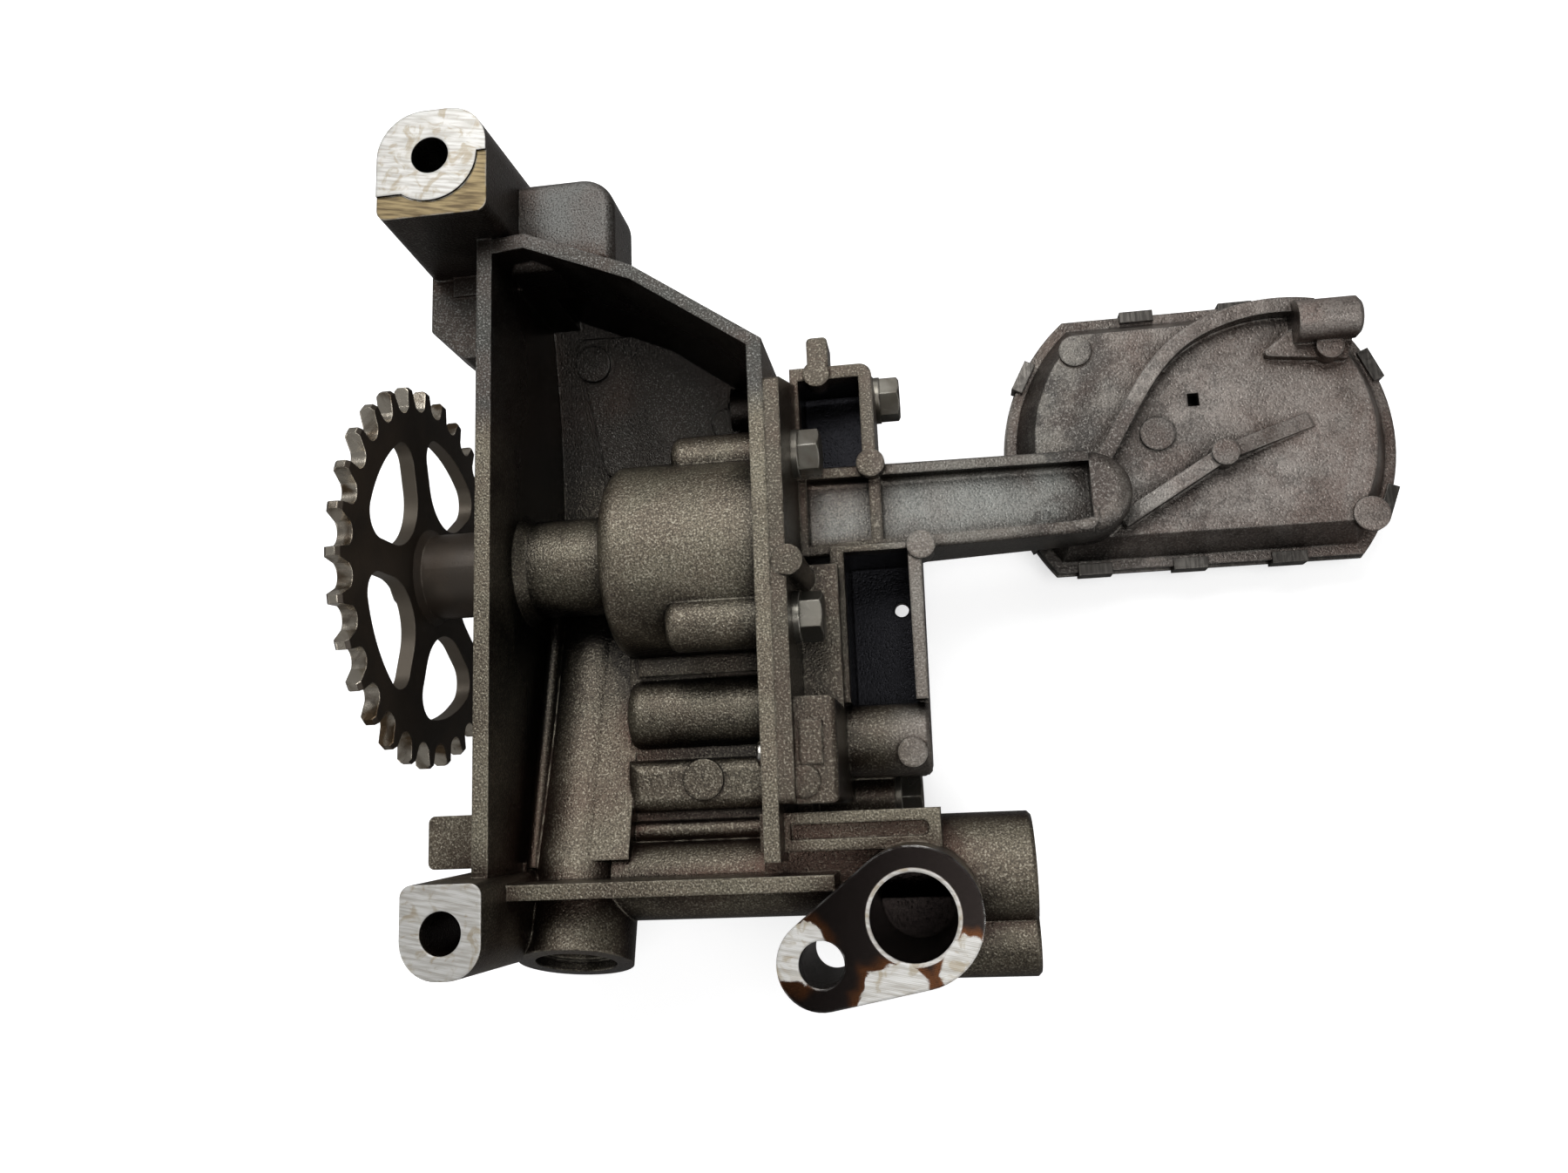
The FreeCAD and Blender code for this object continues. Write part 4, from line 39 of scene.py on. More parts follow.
# Light colour of rubbed edges, and of the painted glints of the grain.
CAST_WORN_AND_GLINT = (0.320, 0.294, 0.232, 1)
MILLED_SILVER = (0.545, 0.540, 0.520, 1)
MILLED_GREY = (0.300, 0.280, 0.245, 1)
MILLED_STRAW = (0.250, 0.190, 0.095, 1)
STRAW_DARK = (0.085, 0.058, 0.025, 1)
STAIN_AMBER = (0.068, 0.026, 0.010, 1)
# Black of the oil stains, also the painted shade inside the port bore.
STAIN_AND_SHADE_BLACK = (0.012, 0.009, 0.008, 1)

# Texture scales, per metre.
BLAST_GRAIN = 2300.0
PIT_SHARE = 0.55
MOTTLE_SCALE = 85.0
PATCH_SCALE = 42.0
TINT_SCALE = 17.0
BROKEN_EDGE_SCALE = 320.0
STREAK_SCALE = 1500.0
STREAK_SQUEEZE = 0.09
SCUFF_SCALE = 230.0
WANDER_SCALE = 170.0

# Steps: the value at which a mask starts and the value at which it is full.
PIT_STEP = (0.0, 0.45)
GLINT_STEP = (0.54, 0.70)
HOLLOW_STEP = (0.50, 0.34)
MOTTLE_STEP = (0.32, 0.68)
UPRIGHT_STEP = (0.75, 0.10)
WET_STEP = (0.44, 0.66)
CREASE_STEP = (0.96, 0.55)
TINT_STEP = (0.40, 0.62)
EDGE_STEP = (0.985, 0.80)
BROKEN_EDGE_STEP = (0.38, 0.62)
STREAK_STEP = (0.35, 0.68)
SCUFF_STEP = (0.50, 0.66)
LEVEL_STEP = (0.93, 0.98)
HUMP_STEP_X = (0.008, 0.011)
FLANGE_STEP_X = (0.0600, 0.0602)
BORE_STEP_Z = (-0.0003, -0.0012)

# Shares: how strongly each layer shows over the one below it.
# The wall, deep and crease shares give painted shade mixed with oil; the patch share gives oil alone.
WALL_OIL_AND_SHADE = 0.62
DEEP_OIL_AND_SHADE = 0.88
PATCH_OIL = 0.30
CREASE_OIL_AND_SHADE = 0.85
MOTTLE_SHARE = 0.36
HOLLOW_SHARE = 0.62
TINT_SHARE = 0.45
FILM_AND_SHADE_SHARE = 0.82
GLINT_SHARE = 0.85
EDGE_SHARE = 0.55
CHARCOAL_SHARE = 0.92
GREY_FLECK_SHARE = 0.9
SILVER_SHARE = 0.8
STREAK_SHARE = 0.75
SCUFF_SHARE = 0.55
LIP_SHARE = 0.8
BRIGHT_EDGE_SHARE = 0.85

# Shine and relief of the skin, in the range from dry to oiled and shaded; the higher metallic deepens
# the painted shade.
DRY_METALLIC = 0.55
OILED_AND_SHADED_METALLIC = 0.92
BODY_ROUGHNESS = (0.46, 0.27)
WET_ROUGHNESS = 0.13
GRAIN_DEPTH = 0.00014
BODY_GRAIN_STRENGTH = 0.9
MILLING_DEPTH = 0.000015

# Places on the casting, in metres.
RECESS_Y = 0.1050
RECESS_SOFT = 0.010
HUMP_Y = 0.1490
HUMP_SOFT = 0.008
MILLED_PLANE = -0.0011
MILLED_SOFT = 0.0004
STEP_PLANE = -0.0004
STEP_SOFT = 0.0001
PORT_CENTRE = (0.094, 0.0006)
PORT_RADIUS = 0.0084
PORT_LIP = 0.0093
PORT_SOFT = 0.0003
STAIN_WANDER = 0.0060
STAIN_SOFT = 0.0006
FRINGE_WIDTH = 0.0024
CLEAN_PATCHES = (
    ((0.0715, -0.0050), 0.0064),
    ((0.0900, -0.0145), 0.0072),
    ((0.1040, -0.0090), 0.0058),
)


def put(tree, kind, values=None, **settings):
    """Add a node, set its properties and the default values of its inputs."""
    node = tree.nodes.new(kind)
    for name, value in settings.items():
        setattr(node, name, value)
    for name, value in (values or {}).items():
        node.inputs[name].default_value = value
    return node


def join(tree, *pairs):
    """Link sockets given as (output, input) pairs."""
    for output, target in pairs:
        tree.links.new(output, target)


def ramp(tree, source, low, high, start=0.0, end=1.0):
    """Smooth step of a value between low and high."""
    step = put(tree, "ShaderNodeMapRange", {"From Min": low, "From Max": high,
                                            "To Min": start, "To Max": end},
               interpolation_type="SMOOTHSTEP")
    join(tree, (source, step.inputs["Value"]))
    return step.outputs["Result"]


def between(tree, amount, start, end):
    """Value that goes from start to end as an amount goes from 0 to 1."""
    node = put(tree, "ShaderNodeMapRange", {"To Min": start, "To Max": end})
    join(tree, (amount, node.inputs["Value"]))
    return node.outputs["Result"]


def reckon(tree, operation, first, second):
    """Math node on two sockets or numbers, clamped to 0..1."""
    node = put(tree, "ShaderNodeMath", operation=operation, use_clamp=True)
    for index, term in enumerate((first, second)):
        if isinstance(term, (int, float)):
            node.inputs[index].default_value = term
        else:
            join(tree, (term, node.inputs[index]))
    return node.outputs["Value"]


def blend_colours(tree, amount, first, second):
    """Mix two colours, each a socket or a value, by an amount from 0 to 1."""
    node = put(tree, "ShaderNodeMix", data_type="RGBA")
    for name, term in (("Factor", amount), ("A", first), ("B", second)):
        kind = "VALUE" if name == "Factor" else "RGBA"
        socket = next(s for s in node.inputs if s.name == name and s.type == kind)
        if isinstance(term, (tuple, float, int)):
            socket.default_value = term
        else:
            join(tree, (term, socket))
    return next(s for s in node.outputs if s.type == "RGBA")


def new_group(name, inputs, outputs):
    """Empty shader node group with float inputs and the outputs named."""
    tree = bpy.data.node_groups.new(name, "ShaderNodeTree")
    for label, value in inputs.items():
        socket = tree.interface.new_socket(label, in_out="INPUT", socket_type="NodeSocketFloat")
        socket.default_value = value
    for label, kind in outputs.items():
        tree.interface.new_socket(label, in_out="OUTPUT", socket_type="NodeSocket" + kind)
    return tree, tree.nodes.new("NodeGroupInput"), tree.nodes.new("NodeGroupOutput")


def blasted_skin():
    """Grain of a blasted casting: bumps, glints and hollows between, and broad mottling."""
    tree, given, out = new_group("blasted skin", {"Grain": BLAST_GRAIN},
                                 {"Height": "Float", "Glint": "Float", "Hollow": "Float",
                                  "Mottle": "Float"})
    place = put(tree, "ShaderNodeTexCoord")
    bumps = put(tree, "ShaderNodeTexNoise", {"Detail": 3.0, "Roughness": 0.65})
    pits = put(tree, "ShaderNodeTexVoronoi", {"Randomness": 1.0})
    glints = put(tree, "ShaderNodeTexNoise", {"Detail": 1.0})
    mottle = put(tree, "ShaderNodeTexNoise", {"Scale": MOTTLE_SCALE, "Detail": 5.0,
                                              "Distortion": 0.4})
    coarse = put(tree, "ShaderNodeMath", operation="MULTIPLY")
    coarse.inputs[1].default_value = PIT_SHARE
    join(tree, (given.outputs["Grain"], bumps.inputs["Scale"]),
         (given.outputs["Grain"], coarse.inputs[0]), (coarse.outputs[0], pits.inputs["Scale"]),
         (given.outputs["Grain"], glints.inputs["Scale"]))
    for texture in (bumps, pits, glints, mottle):
        join(tree, (place.outputs["Object"], texture.inputs["Vector"]))
    pit = ramp(tree, pits.outputs["Distance"], *PIT_STEP)
    join(tree, (reckon(tree, "MULTIPLY", bumps.outputs["Fac"], pit), out.inputs["Height"]),
         (ramp(tree, glints.outputs["Fac"], *GLINT_STEP), out.inputs["Glint"]),
         (ramp(tree, glints.outputs["Fac"], *HOLLOW_STEP), out.inputs["Hollow"]),
         (ramp(tree, mottle.outputs["Fac"], *MOTTLE_STEP), out.inputs["Mottle"]))
    return tree


def oil_and_painted_shade():
    """Dried old oil in patches, and painted shade mixed with oil on upright walls, in deep recesses
    and in corners.
    """
    tree, given, out = new_group("oil film", {"Rim": -0.016, "Floor": -0.062, "Amount": 1.0,
                                              "Corner": 0.008},
                                 {"Film and shade": "Float", "Tint": "Float"})
    corner = put(tree, "ShaderNodeAmbientOcclusion", samples=6, only_local=True)
    join(tree, (given.outputs["Corner"], corner.inputs["Distance"]))
    place = put(tree, "ShaderNodeTexCoord")
    spot = put(tree, "ShaderNodeSeparateXYZ")
    lean = put(tree, "ShaderNodeSeparateXYZ")
    patches = put(tree, "ShaderNodeTexNoise", {"Scale": PATCH_SCALE, "Detail": 6.0,
                                               "Distortion": 0.8})
    tint = put(tree, "ShaderNodeTexNoise", {"Scale": TINT_SCALE, "Detail": 2.0})
    join(tree, (place.outputs["Object"], spot.inputs["Vector"]),
         (place.outputs["Normal"], lean.inputs["Vector"]),
         (place.outputs["Object"], patches.inputs["Vector"]),
         (place.outputs["Object"], tint.inputs["Vector"]))
    depth = put(tree, "ShaderNodeMapRange", interpolation_type="SMOOTHSTEP")
    join(tree, (spot.outputs["Z"], depth.inputs["Value"]),
         (given.outputs["Rim"], depth.inputs["From Min"]),
         (given.outputs["Floor"], depth.inputs["From Max"]))
    # Painted shade mixed with oil: upright faces, depth below the rim, and corners found by ambient
    # occlusion darken the skin; the noise patches are oil alone.
    upright = ramp(tree, lean.outputs["Z"], *UPRIGHT_STEP)
    dark_glossy = ramp(tree, patches.outputs["Fac"], *WET_STEP)
    walls = reckon(tree, "MULTIPLY", upright, WALL_OIL_AND_SHADE)
    deep = reckon(tree, "MULTIPLY", depth.outputs["Result"], DEEP_OIL_AND_SHADE)
    film_and_shade = reckon(tree, "ADD", reckon(tree, "ADD", walls, deep),
                  reckon(tree, "MULTIPLY", dark_glossy, PATCH_OIL))
    crease = ramp(tree, corner.outputs["AO"], *CREASE_STEP)
    film_and_shade = reckon(tree, "ADD", film_and_shade, reckon(tree, "MULTIPLY", crease, CREASE_OIL_AND_SHADE))
    join(tree, (reckon(tree, "MULTIPLY", film_and_shade, given.outputs["Amount"]), out.inputs["Film and shade"]),
         (ramp(tree, tint.outputs["Fac"], *TINT_STEP), out.inputs["Tint"]))
    return tree


def worn_edge():
    """Rounded edges: their shading normal, and a mask where handling has rubbed them bare."""
    tree, given, out = new_group("worn edge", {"Radius": 0.0007},
                                 {"Edge": "Float", "Normal": "Vector"})
    round_off = put(tree, "ShaderNodeBevel", samples=4)
    surface = put(tree, "ShaderNodeNewGeometry")
    dot = put(tree, "ShaderNodeVectorMath", operation="DOT_PRODUCT")
    place = put(tree, "ShaderNodeTexCoord")
    broken = put(tree, "ShaderNodeTexNoise", {"Scale": BROKEN_EDGE_SCALE, "Detail": 4.0})
    join(tree, (given.outputs["Radius"], round_off.inputs["Radius"]),
         (round_off.outputs["Normal"], dot.inputs[0]), (surface.outputs["Normal"], dot.inputs[1]),
         (place.outputs["Object"], broken.inputs["Vector"]))
    edge = ramp(tree, dot.outputs["Value"], *EDGE_STEP)
    rubbed = reckon(tree, "MULTIPLY", edge, ramp(tree, broken.outputs["Fac"], *BROKEN_EDGE_STEP))
    join(tree, (rubbed, out.inputs["Edge"]),
         (round_off.outputs["Normal"], out.inputs["Normal"]))
    return tree


def milled_lines():
    """Parallel cutter marks, their long streaks, and scuffs across them."""
    tree, given, out = new_group("milled lines", {"Turn": 0.6, "Pitch": 1150.0},
                                 {"Height": "Float", "Streak": "Float", "Scuff": "Float"})
    place = put(tree, "ShaderNodeTexCoord")
    turn = put(tree, "ShaderNodeVectorRotate", rotation_type="Z_AXIS")
    lines = put(tree, "ShaderNodeTexWave", {"Distortion": 1.2, "Detail": 2.0},
                bands_direction="X")
    squeeze = put(tree, "ShaderNodeMapping", {"Scale": (1.0, STREAK_SQUEEZE, 1.0)})
    streaks = put(tree, "ShaderNodeTexNoise", {"Scale": STREAK_SCALE, "Detail": 3.0})
    scuffs = put(tree, "ShaderNodeTexNoise", {"Scale": SCUFF_SCALE, "Detail": 6.0,
                                              "Distortion": 1.5})
    join(tree, (place.outputs["Object"], turn.inputs["Vector"]),
         (given.outputs["Turn"], turn.inputs["Angle"]),
         (turn.outputs["Vector"], lines.inputs["Vector"]),
         (given.outputs["Pitch"], lines.inputs["Scale"]),
         (turn.outputs["Vector"], squeeze.inputs["Vector"]),
         (squeeze.outputs["Vector"], streaks.inputs["Vector"]),
         (place.outputs["Object"], scuffs.inputs["Vector"]),
         (lines.outputs["Fac"], out.inputs["Height"]),
         (ramp(tree, streaks.outputs["Fac"], *STREAK_STEP), out.inputs["Streak"]),
         (ramp(tree, scuffs.outputs["Fac"], *SCUFF_STEP), out.inputs["Scuff"]))
    return tree


skin_group = blasted_skin()
oil_and_shade_group = oil_and_painted_shade()
edge_group = worn_edge()
milled_group = milled_lines()


def place_group(tree, group, **values):
    """Node of a shared group with this material's own values."""
    node = put(tree, "ShaderNodeGroup", node_tree=group)
    for name, value in values.items():
        node.inputs[name.replace("_", " ")].default_value = value
    return node


def new_finish(name, metallic, roughness):
    """Material with a plain Principled shader; gives its tree and that shader."""
    material = bpy.data.materials.new(name)
    material.use_nodes = True
    shader = material.node_tree.nodes["Principled BSDF"]
    shader.inputs["Metallic"].default_value = metallic
    shader.inputs["Roughness"].default_value = roughness
    return material, material.node_tree, shader


def wire_surface(tree, shader, colour, roughness, bump, height, edge):
    """Link the colour, the roughness, and the relief with its rounded edges to the shader."""
    join(tree, (colour, shader.inputs["Base Color"]), (roughness, shader.inputs["Roughness"]),
         (height, bump.inputs["Height"]), (edge.outputs["Normal"], bump.inputs["Normal"]),
         (bump.outputs["Normal"], shader.inputs["Normal"]))


def coat(node_name, material):
    """Give one CAD node its finish."""
    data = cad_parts[node_name].data
    data.materials.clear()
    data.materials.append(material)


def distance_in_plane(tree, place, centre):
    """Distance from a point of the mounting plane, seen from above."""
    flat = put(tree, "ShaderNodeVectorMath", operation="MULTIPLY")
    flat.inputs[1].default_value = (1, 1, 0)
    gap = put(tree, "ShaderNodeVectorMath", operation="DISTANCE")
    gap.inputs[1].default_value = (*centre, 0)
    join(tree, (place.outputs["Object"], flat.inputs[0]), (flat.outputs[0], gap.inputs[0]))
    return gap.outputs["Value"]


def milled_mask(tree):
    """Faces that lie in the milled plane and look straight up."""
    place = put(tree, "ShaderNodeTexCoord")
    spot = put(tree, "ShaderNodeSeparateXYZ")
    lean = put(tree, "ShaderNodeSeparateXYZ")
    join(tree, (place.outputs["Object"], spot.inputs["Vector"]),
         (place.outputs["Normal"], lean.inputs["Vector"]))
    high = ramp(tree, spot.outputs["Z"], MILLED_PLANE, MILLED_PLANE + MILLED_SOFT)
    level = ramp(tree, lean.outputs["Z"], *LEVEL_STEP)
    return reckon(tree, "MULTIPLY", high, level), place


def cast_colours(tree, plain, fleck, film_and_shade, skin, edge, contrast=1.0):
    """Colour of the casting skin with its oil and painted shade, mottling, painted glints and rubbed
    edges.
    """
    base = blend_colours(tree, reckon(tree, "MULTIPLY", skin.outputs["Mottle"], MOTTLE_SHARE),
                         plain, CAST_RUST_AND_SHADE_BROWN)
    hollow = reckon(tree, "MULTIPLY", skin.outputs["Hollow"], HOLLOW_SHARE * contrast)
    base = blend_colours(tree, hollow, base, CAST_SHADE)
    # Painted shade mixed with oil: under the mask the skin turns a dark brown with a reddish tint.
    shade = blend_colours(tree, reckon(tree, "MULTIPLY", film_and_shade.outputs["Tint"], TINT_SHARE),
                          CAST_SHADE, CAST_RUST_AND_SHADE_BROWN)
    oiled_and_shaded = blend_colours(tree, film_and_shade.outputs["Film and shade"], base, shade)
    covered = reckon(tree, "MULTIPLY", film_and_shade.outputs["Film and shade"], FILM_AND_SHADE_SHARE)
    clear = reckon(tree, "SUBTRACT", 1.0, covered)
    # Painted highlights: the glints are light flecks mixed into the colour, fewer where oil and
    # painted shade cover the skin.
    glint = reckon(tree, "MULTIPLY", skin.outputs["Glint"],
                   reckon(tree, "MULTIPLY", clear, GLINT_SHARE * contrast))
    sparkling = blend_colours(tree, glint, oiled_and_shaded, fleck)
    return blend_colours(tree, reckon(tree, "MULTIPLY", edge.outputs["Edge"], EDGE_SHARE),
                         sparkling, fleck)


def body_finish():
    """Olive skin, charcoal in the far half that is partly painted shade of the deep recess, and the
    milled plane with the stains at its port and painted shade in its bore.
    """
    material, tree, shader = new_finish("body casting", DRY_METALLIC, 0.45)
    skin = place_group(tree, skin_group)
    film_and_shade = place_group(tree, oil_and_shade_group)
    edge = place_group(tree, edge_group)
    lines = place_group(tree, milled_group, Turn=1.75)
    milled, place = milled_mask(tree)
    spot = put(tree, "ShaderNodeSeparateXYZ")
    join(tree, (place.outputs["Object"], spot.inputs["Vector"]))
    # Charcoal over the far half: partly the oil-darkened tone of the recess, partly painted shade of
    # its depth.
    upper = ramp(tree, spot.outputs["Y"], RECESS_Y, RECESS_Y + RECESS_SOFT)
    cast = blend_colours(tree, reckon(tree, "MULTIPLY", upper, CHARCOAL_SHARE),
                         CAST_OLIVE, CAST_CHARCOAL)
    hump = reckon(tree, "MULTIPLY", ramp(tree, spot.outputs["Y"], HUMP_Y, HUMP_Y + HUMP_SOFT),
                  ramp(tree, spot.outputs["X"], *HUMP_STEP_X))
    cast = blend_colours(tree, reckon(tree, "MULTIPLY", hump, SILVER_SHARE), cast, CAST_SILVER)
    fleck = blend_colours(tree, reckon(tree, "MULTIPLY", upper, GREY_FLECK_SHARE),
                          CAST_WORN_AND_GLINT, GREY_FLECK)
    fleck = blend_colours(tree, hump, fleck, CAST_SILVER)
    casting = cast_colours(tree, cast, fleck, film_and_shade, skin, edge)

    bare = blend_colours(tree, reckon(tree, "MULTIPLY", lines.outputs["Streak"], STREAK_SHARE),
                         MILLED_SILVER, MILLED_GREY)
    bare = blend_colours(tree, reckon(tree, "MULTIPLY", lines.outputs["Scuff"], SCUFF_SHARE),
                         bare, MILLED_STRAW)
    straw = blend_colours(tree, lines.outputs["Streak"], MILLED_STRAW, STRAW_DARK)
    stepped = ramp(tree, spot.outputs["Z"], STEP_PLANE, STEP_PLANE - STEP_SOFT)
    bare = blend_colours(tree, stepped, bare, straw)

    gap = distance_in_plane(tree, place, PORT_CENTRE)
    wander = put(tree, "ShaderNodeTexNoise", {"Scale": WANDER_SCALE, "Detail": 5.0,
                                              "Distortion": 0.7})
    drift = put(tree, "ShaderNodeMath", operation="MULTIPLY")
    drift.inputs[1].default_value = STAIN_WANDER
    join(tree, (place.outputs["Object"], wander.inputs["Vector"]),
         (wander.outputs["Fac"], drift.inputs[0]))
    clean = None
    fringe = None
    for centre, radius in CLEAN_PATCHES:
        reach = put(tree, "ShaderNodeMath", operation="ADD")
        join(tree, (distance_in_plane(tree, place, centre), reach.inputs[0]),
             (drift.outputs["Value"], reach.inputs[1]))
        far = radius + STAIN_WANDER / 2
        inner = ramp(tree, reach.outputs["Value"], far, far - STAIN_SOFT)
        outer = ramp(tree, reach.outputs["Value"], far + FRINGE_WIDTH, far)
        clean = inner if clean is None else reckon(tree, "MAXIMUM", clean, inner)
        fringe = outer if fringe is None else reckon(tree, "MAXIMUM", fringe, outer)
    flange = ramp(tree, spot.outputs["X"], *FLANGE_STEP_X)
    lip = ramp(tree, gap, PORT_LIP, PORT_LIP - PORT_SOFT)
    edge_of_lip = reckon(tree, "MAXIMUM", fringe, lip)
    bare_lip = reckon(tree, "MAXIMUM", clean, reckon(tree, "MULTIPLY", lip, LIP_SHARE))
    stain = blend_colours(tree, edge_of_lip, STAIN_AND_SHADE_BLACK, STAIN_AMBER)
    stain = blend_colours(tree, bare_lip, stain, bare)
    stained = blend_colours(tree, flange, bare, stain)
    stained = blend_colours(tree, reckon(tree, "MULTIPLY", edge.outputs["Edge"], BRIGHT_EDGE_SHARE),
                            stained, MILLED_SILVER)
    colour = blend_colours(tree, milled, casting, stained)
    # Painted shade: the walls of the port bore are painted black and kept glossy.
    below = ramp(tree, spot.outputs["Z"], *BORE_STEP_Z)
    bore = reckon(tree, "MULTIPLY", below, ramp(tree, gap, PORT_RADIUS + PORT_SOFT, PORT_RADIUS))
    colour = blend_colours(tree, bore, colour, STAIN_AND_SHADE_BLACK)

    gummed = reckon(tree, "MULTIPLY", reckon(tree, "MULTIPLY", milled, flange),
                    reckon(tree, "SUBTRACT", 1.0, bare_lip))
    glossy = reckon(tree, "MAXIMUM", gummed, bore)
    polish = put(tree, "ShaderNodeMix", data_type="FLOAT")
    polish.inputs[3].default_value = WET_ROUGHNESS
    covered = reckon(tree, "MULTIPLY", film_and_shade.outputs["Film and shade"],
                     reckon(tree, "SUBTRACT", 1.0, milled))
    oiled_and_shaded = reckon(tree, "MAXIMUM", covered, glossy)
    join(tree, (glossy, polish.inputs[0]),
         (between(tree, film_and_shade.outputs["Film and shade"], *BODY_ROUGHNESS), polish.inputs[2]),
         (between(tree, oiled_and_shaded, DRY_METALLIC, OILED_AND_SHADED_METALLIC), shader.inputs["Metallic"]))
    grain = put(tree, "ShaderNodeBump", {"Distance": GRAIN_DEPTH, "Strength": BODY_GRAIN_STRENGTH})
    height = put(tree, "ShaderNodeMix", data_type="FLOAT")
    softened = put(tree, "ShaderNodeMath", operation="MULTIPLY")
    softened.inputs[1].default_value = MILLING_DEPTH / GRAIN_DEPTH
    join(tree, (milled, height.inputs[0]), (skin.outputs["Height"], height.inputs[2]),
         (lines.outputs["Height"], softened.inputs[0]), (softened.outputs[0], height.inputs[3]))
    wire_surface(tree, shader, colour, polish.outputs[0], grain, height.outputs[0], edge)
    return material


coat("pump_body", body_finish())


# Cover, suction arm and strainer bell.
# One aluminium die casting, bolted on at the joint wall: olive flange, grey arm, brown bell.
# The open box pockets face up; their insides are painted black for the shade in them and kept glossy.

COVER_OLIVE = (0.062, 0.052, 0.036, 1)
CAST_GREY = (0.165, 0.154, 0.134, 1)
CHANNEL_GREY = (0.270, 0.275, 0.255, 1)
COVER_FLECK = (0.290, 0.275, 0.250, 1)
BELL_BROWN = (0.300, 0.264, 0.238, 1)
BELL_RED = (0.130, 0.075, 0.058, 1)
BELL_DARK = (0.030, 0.028, 0.026, 1)
FLANGE_END = 0.0860
ARM_START = 0.0980
BELL_START = 0.1320
BELL_MIDDLE = 0.1720
LOWER_SLOPE = 0.0760
# Painted shade: the inside of each pocket is painted black.
POCKET_BLACK = (0.004, 0.004, 0.005, 1)
POCKETS = (
    ((0.0712, 0.0995), (0.0870, 0.1250)),
    ((0.0800, 0.0450), (0.0965, 0.0825)),
)
POCKET_TOP = -0.0440
POCKET_FADE = 0.006
POCKET_SOFT = 0.0004
ARM_SIDEWAYS = (-0.0409, 0.9992, 0.0)
ARM_LINE = 0.0884
CHANNEL_HALF = 0.0082
CHANNEL_SOFT = 0.0035
ARM_UPWARD = (0.1217, 0.0, 0.9926)
CHANNEL_TOP = -0.0346
CHANNEL_FADE = 0.002
SLOPE_SOFT = 0.020
SMEAR_START = (0.118, 0.128)
SMEAR_REACH = 0.035
CLOUD_SCALE = 38.0
CLOUD_STEP = (0.48, 0.62)
SMEAR_SCALE = 60.0
SMEAR_STEP = (0.41, 0.56)
BRUSH_PITCH = 300.0
COVER_GRAIN_SHARE = 0.9
COVER_GRAIN_STRENGTH = 0.8
COVER_CONTRAST = 0.6
COVER_ROUGHNESS = (0.42, 0.24)
BROWN_SHARE = 0.85
SLOPE_SHARE = 0.5
RED_SHARE = 0.50
SMEAR_SHARE = 0.84
BRUSH_SHARE = 0.35


def inside_pocket(tree, place, low, high):
    """Mask of the points below the rim of one pocket."""
    spot = put(tree, "ShaderNodeSeparateXYZ")
    join(tree, (place.outputs["Object"], spot.inputs["Vector"]))
    mask = ramp(tree, spot.outputs["Z"], POCKET_TOP, POCKET_TOP - POCKET_FADE)
    for axis, start, end in (("X", low[0], high[0]), ("Y", low[1], high[1])):
        past_start = ramp(tree, spot.outputs[axis], start - POCKET_SOFT, start)
        before_end = ramp(tree, spot.outputs[axis], end + POCKET_SOFT, end)
        mask = reckon(tree, "MULTIPLY", mask, past_start)
        mask = reckon(tree, "MULTIPLY", mask, before_end)
    return mask


def in_channel(tree, place):
    """Mask of the open channel along the upper side of the arm."""
    across = put(tree, "ShaderNodeVectorMath", operation="DOT_PRODUCT")
    across.inputs[1].default_value = ARM_SIDEWAYS
    upward = put(tree, "ShaderNodeVectorMath", operation="DOT_PRODUCT")
    upward.inputs[1].default_value = ARM_UPWARD
    offset = put(tree, "ShaderNodeMath", operation="SUBTRACT")
    offset.inputs[1].default_value = ARM_LINE
    away = put(tree, "ShaderNodeMath", operation="ABSOLUTE")
    join(tree, (place.outputs["Object"], across.inputs[0]),
         (place.outputs["Object"], upward.inputs[0]),
         (across.outputs["Value"], offset.inputs[0]), (offset.outputs[0], away.inputs[0]))
    inside = ramp(tree, away.outputs[0], CHANNEL_HALF, CHANNEL_HALF - CHANNEL_SOFT)
    return reckon(tree, "MULTIPLY", inside,
                  ramp(tree, upward.outputs["Value"], CHANNEL_TOP, CHANNEL_TOP - CHANNEL_FADE))


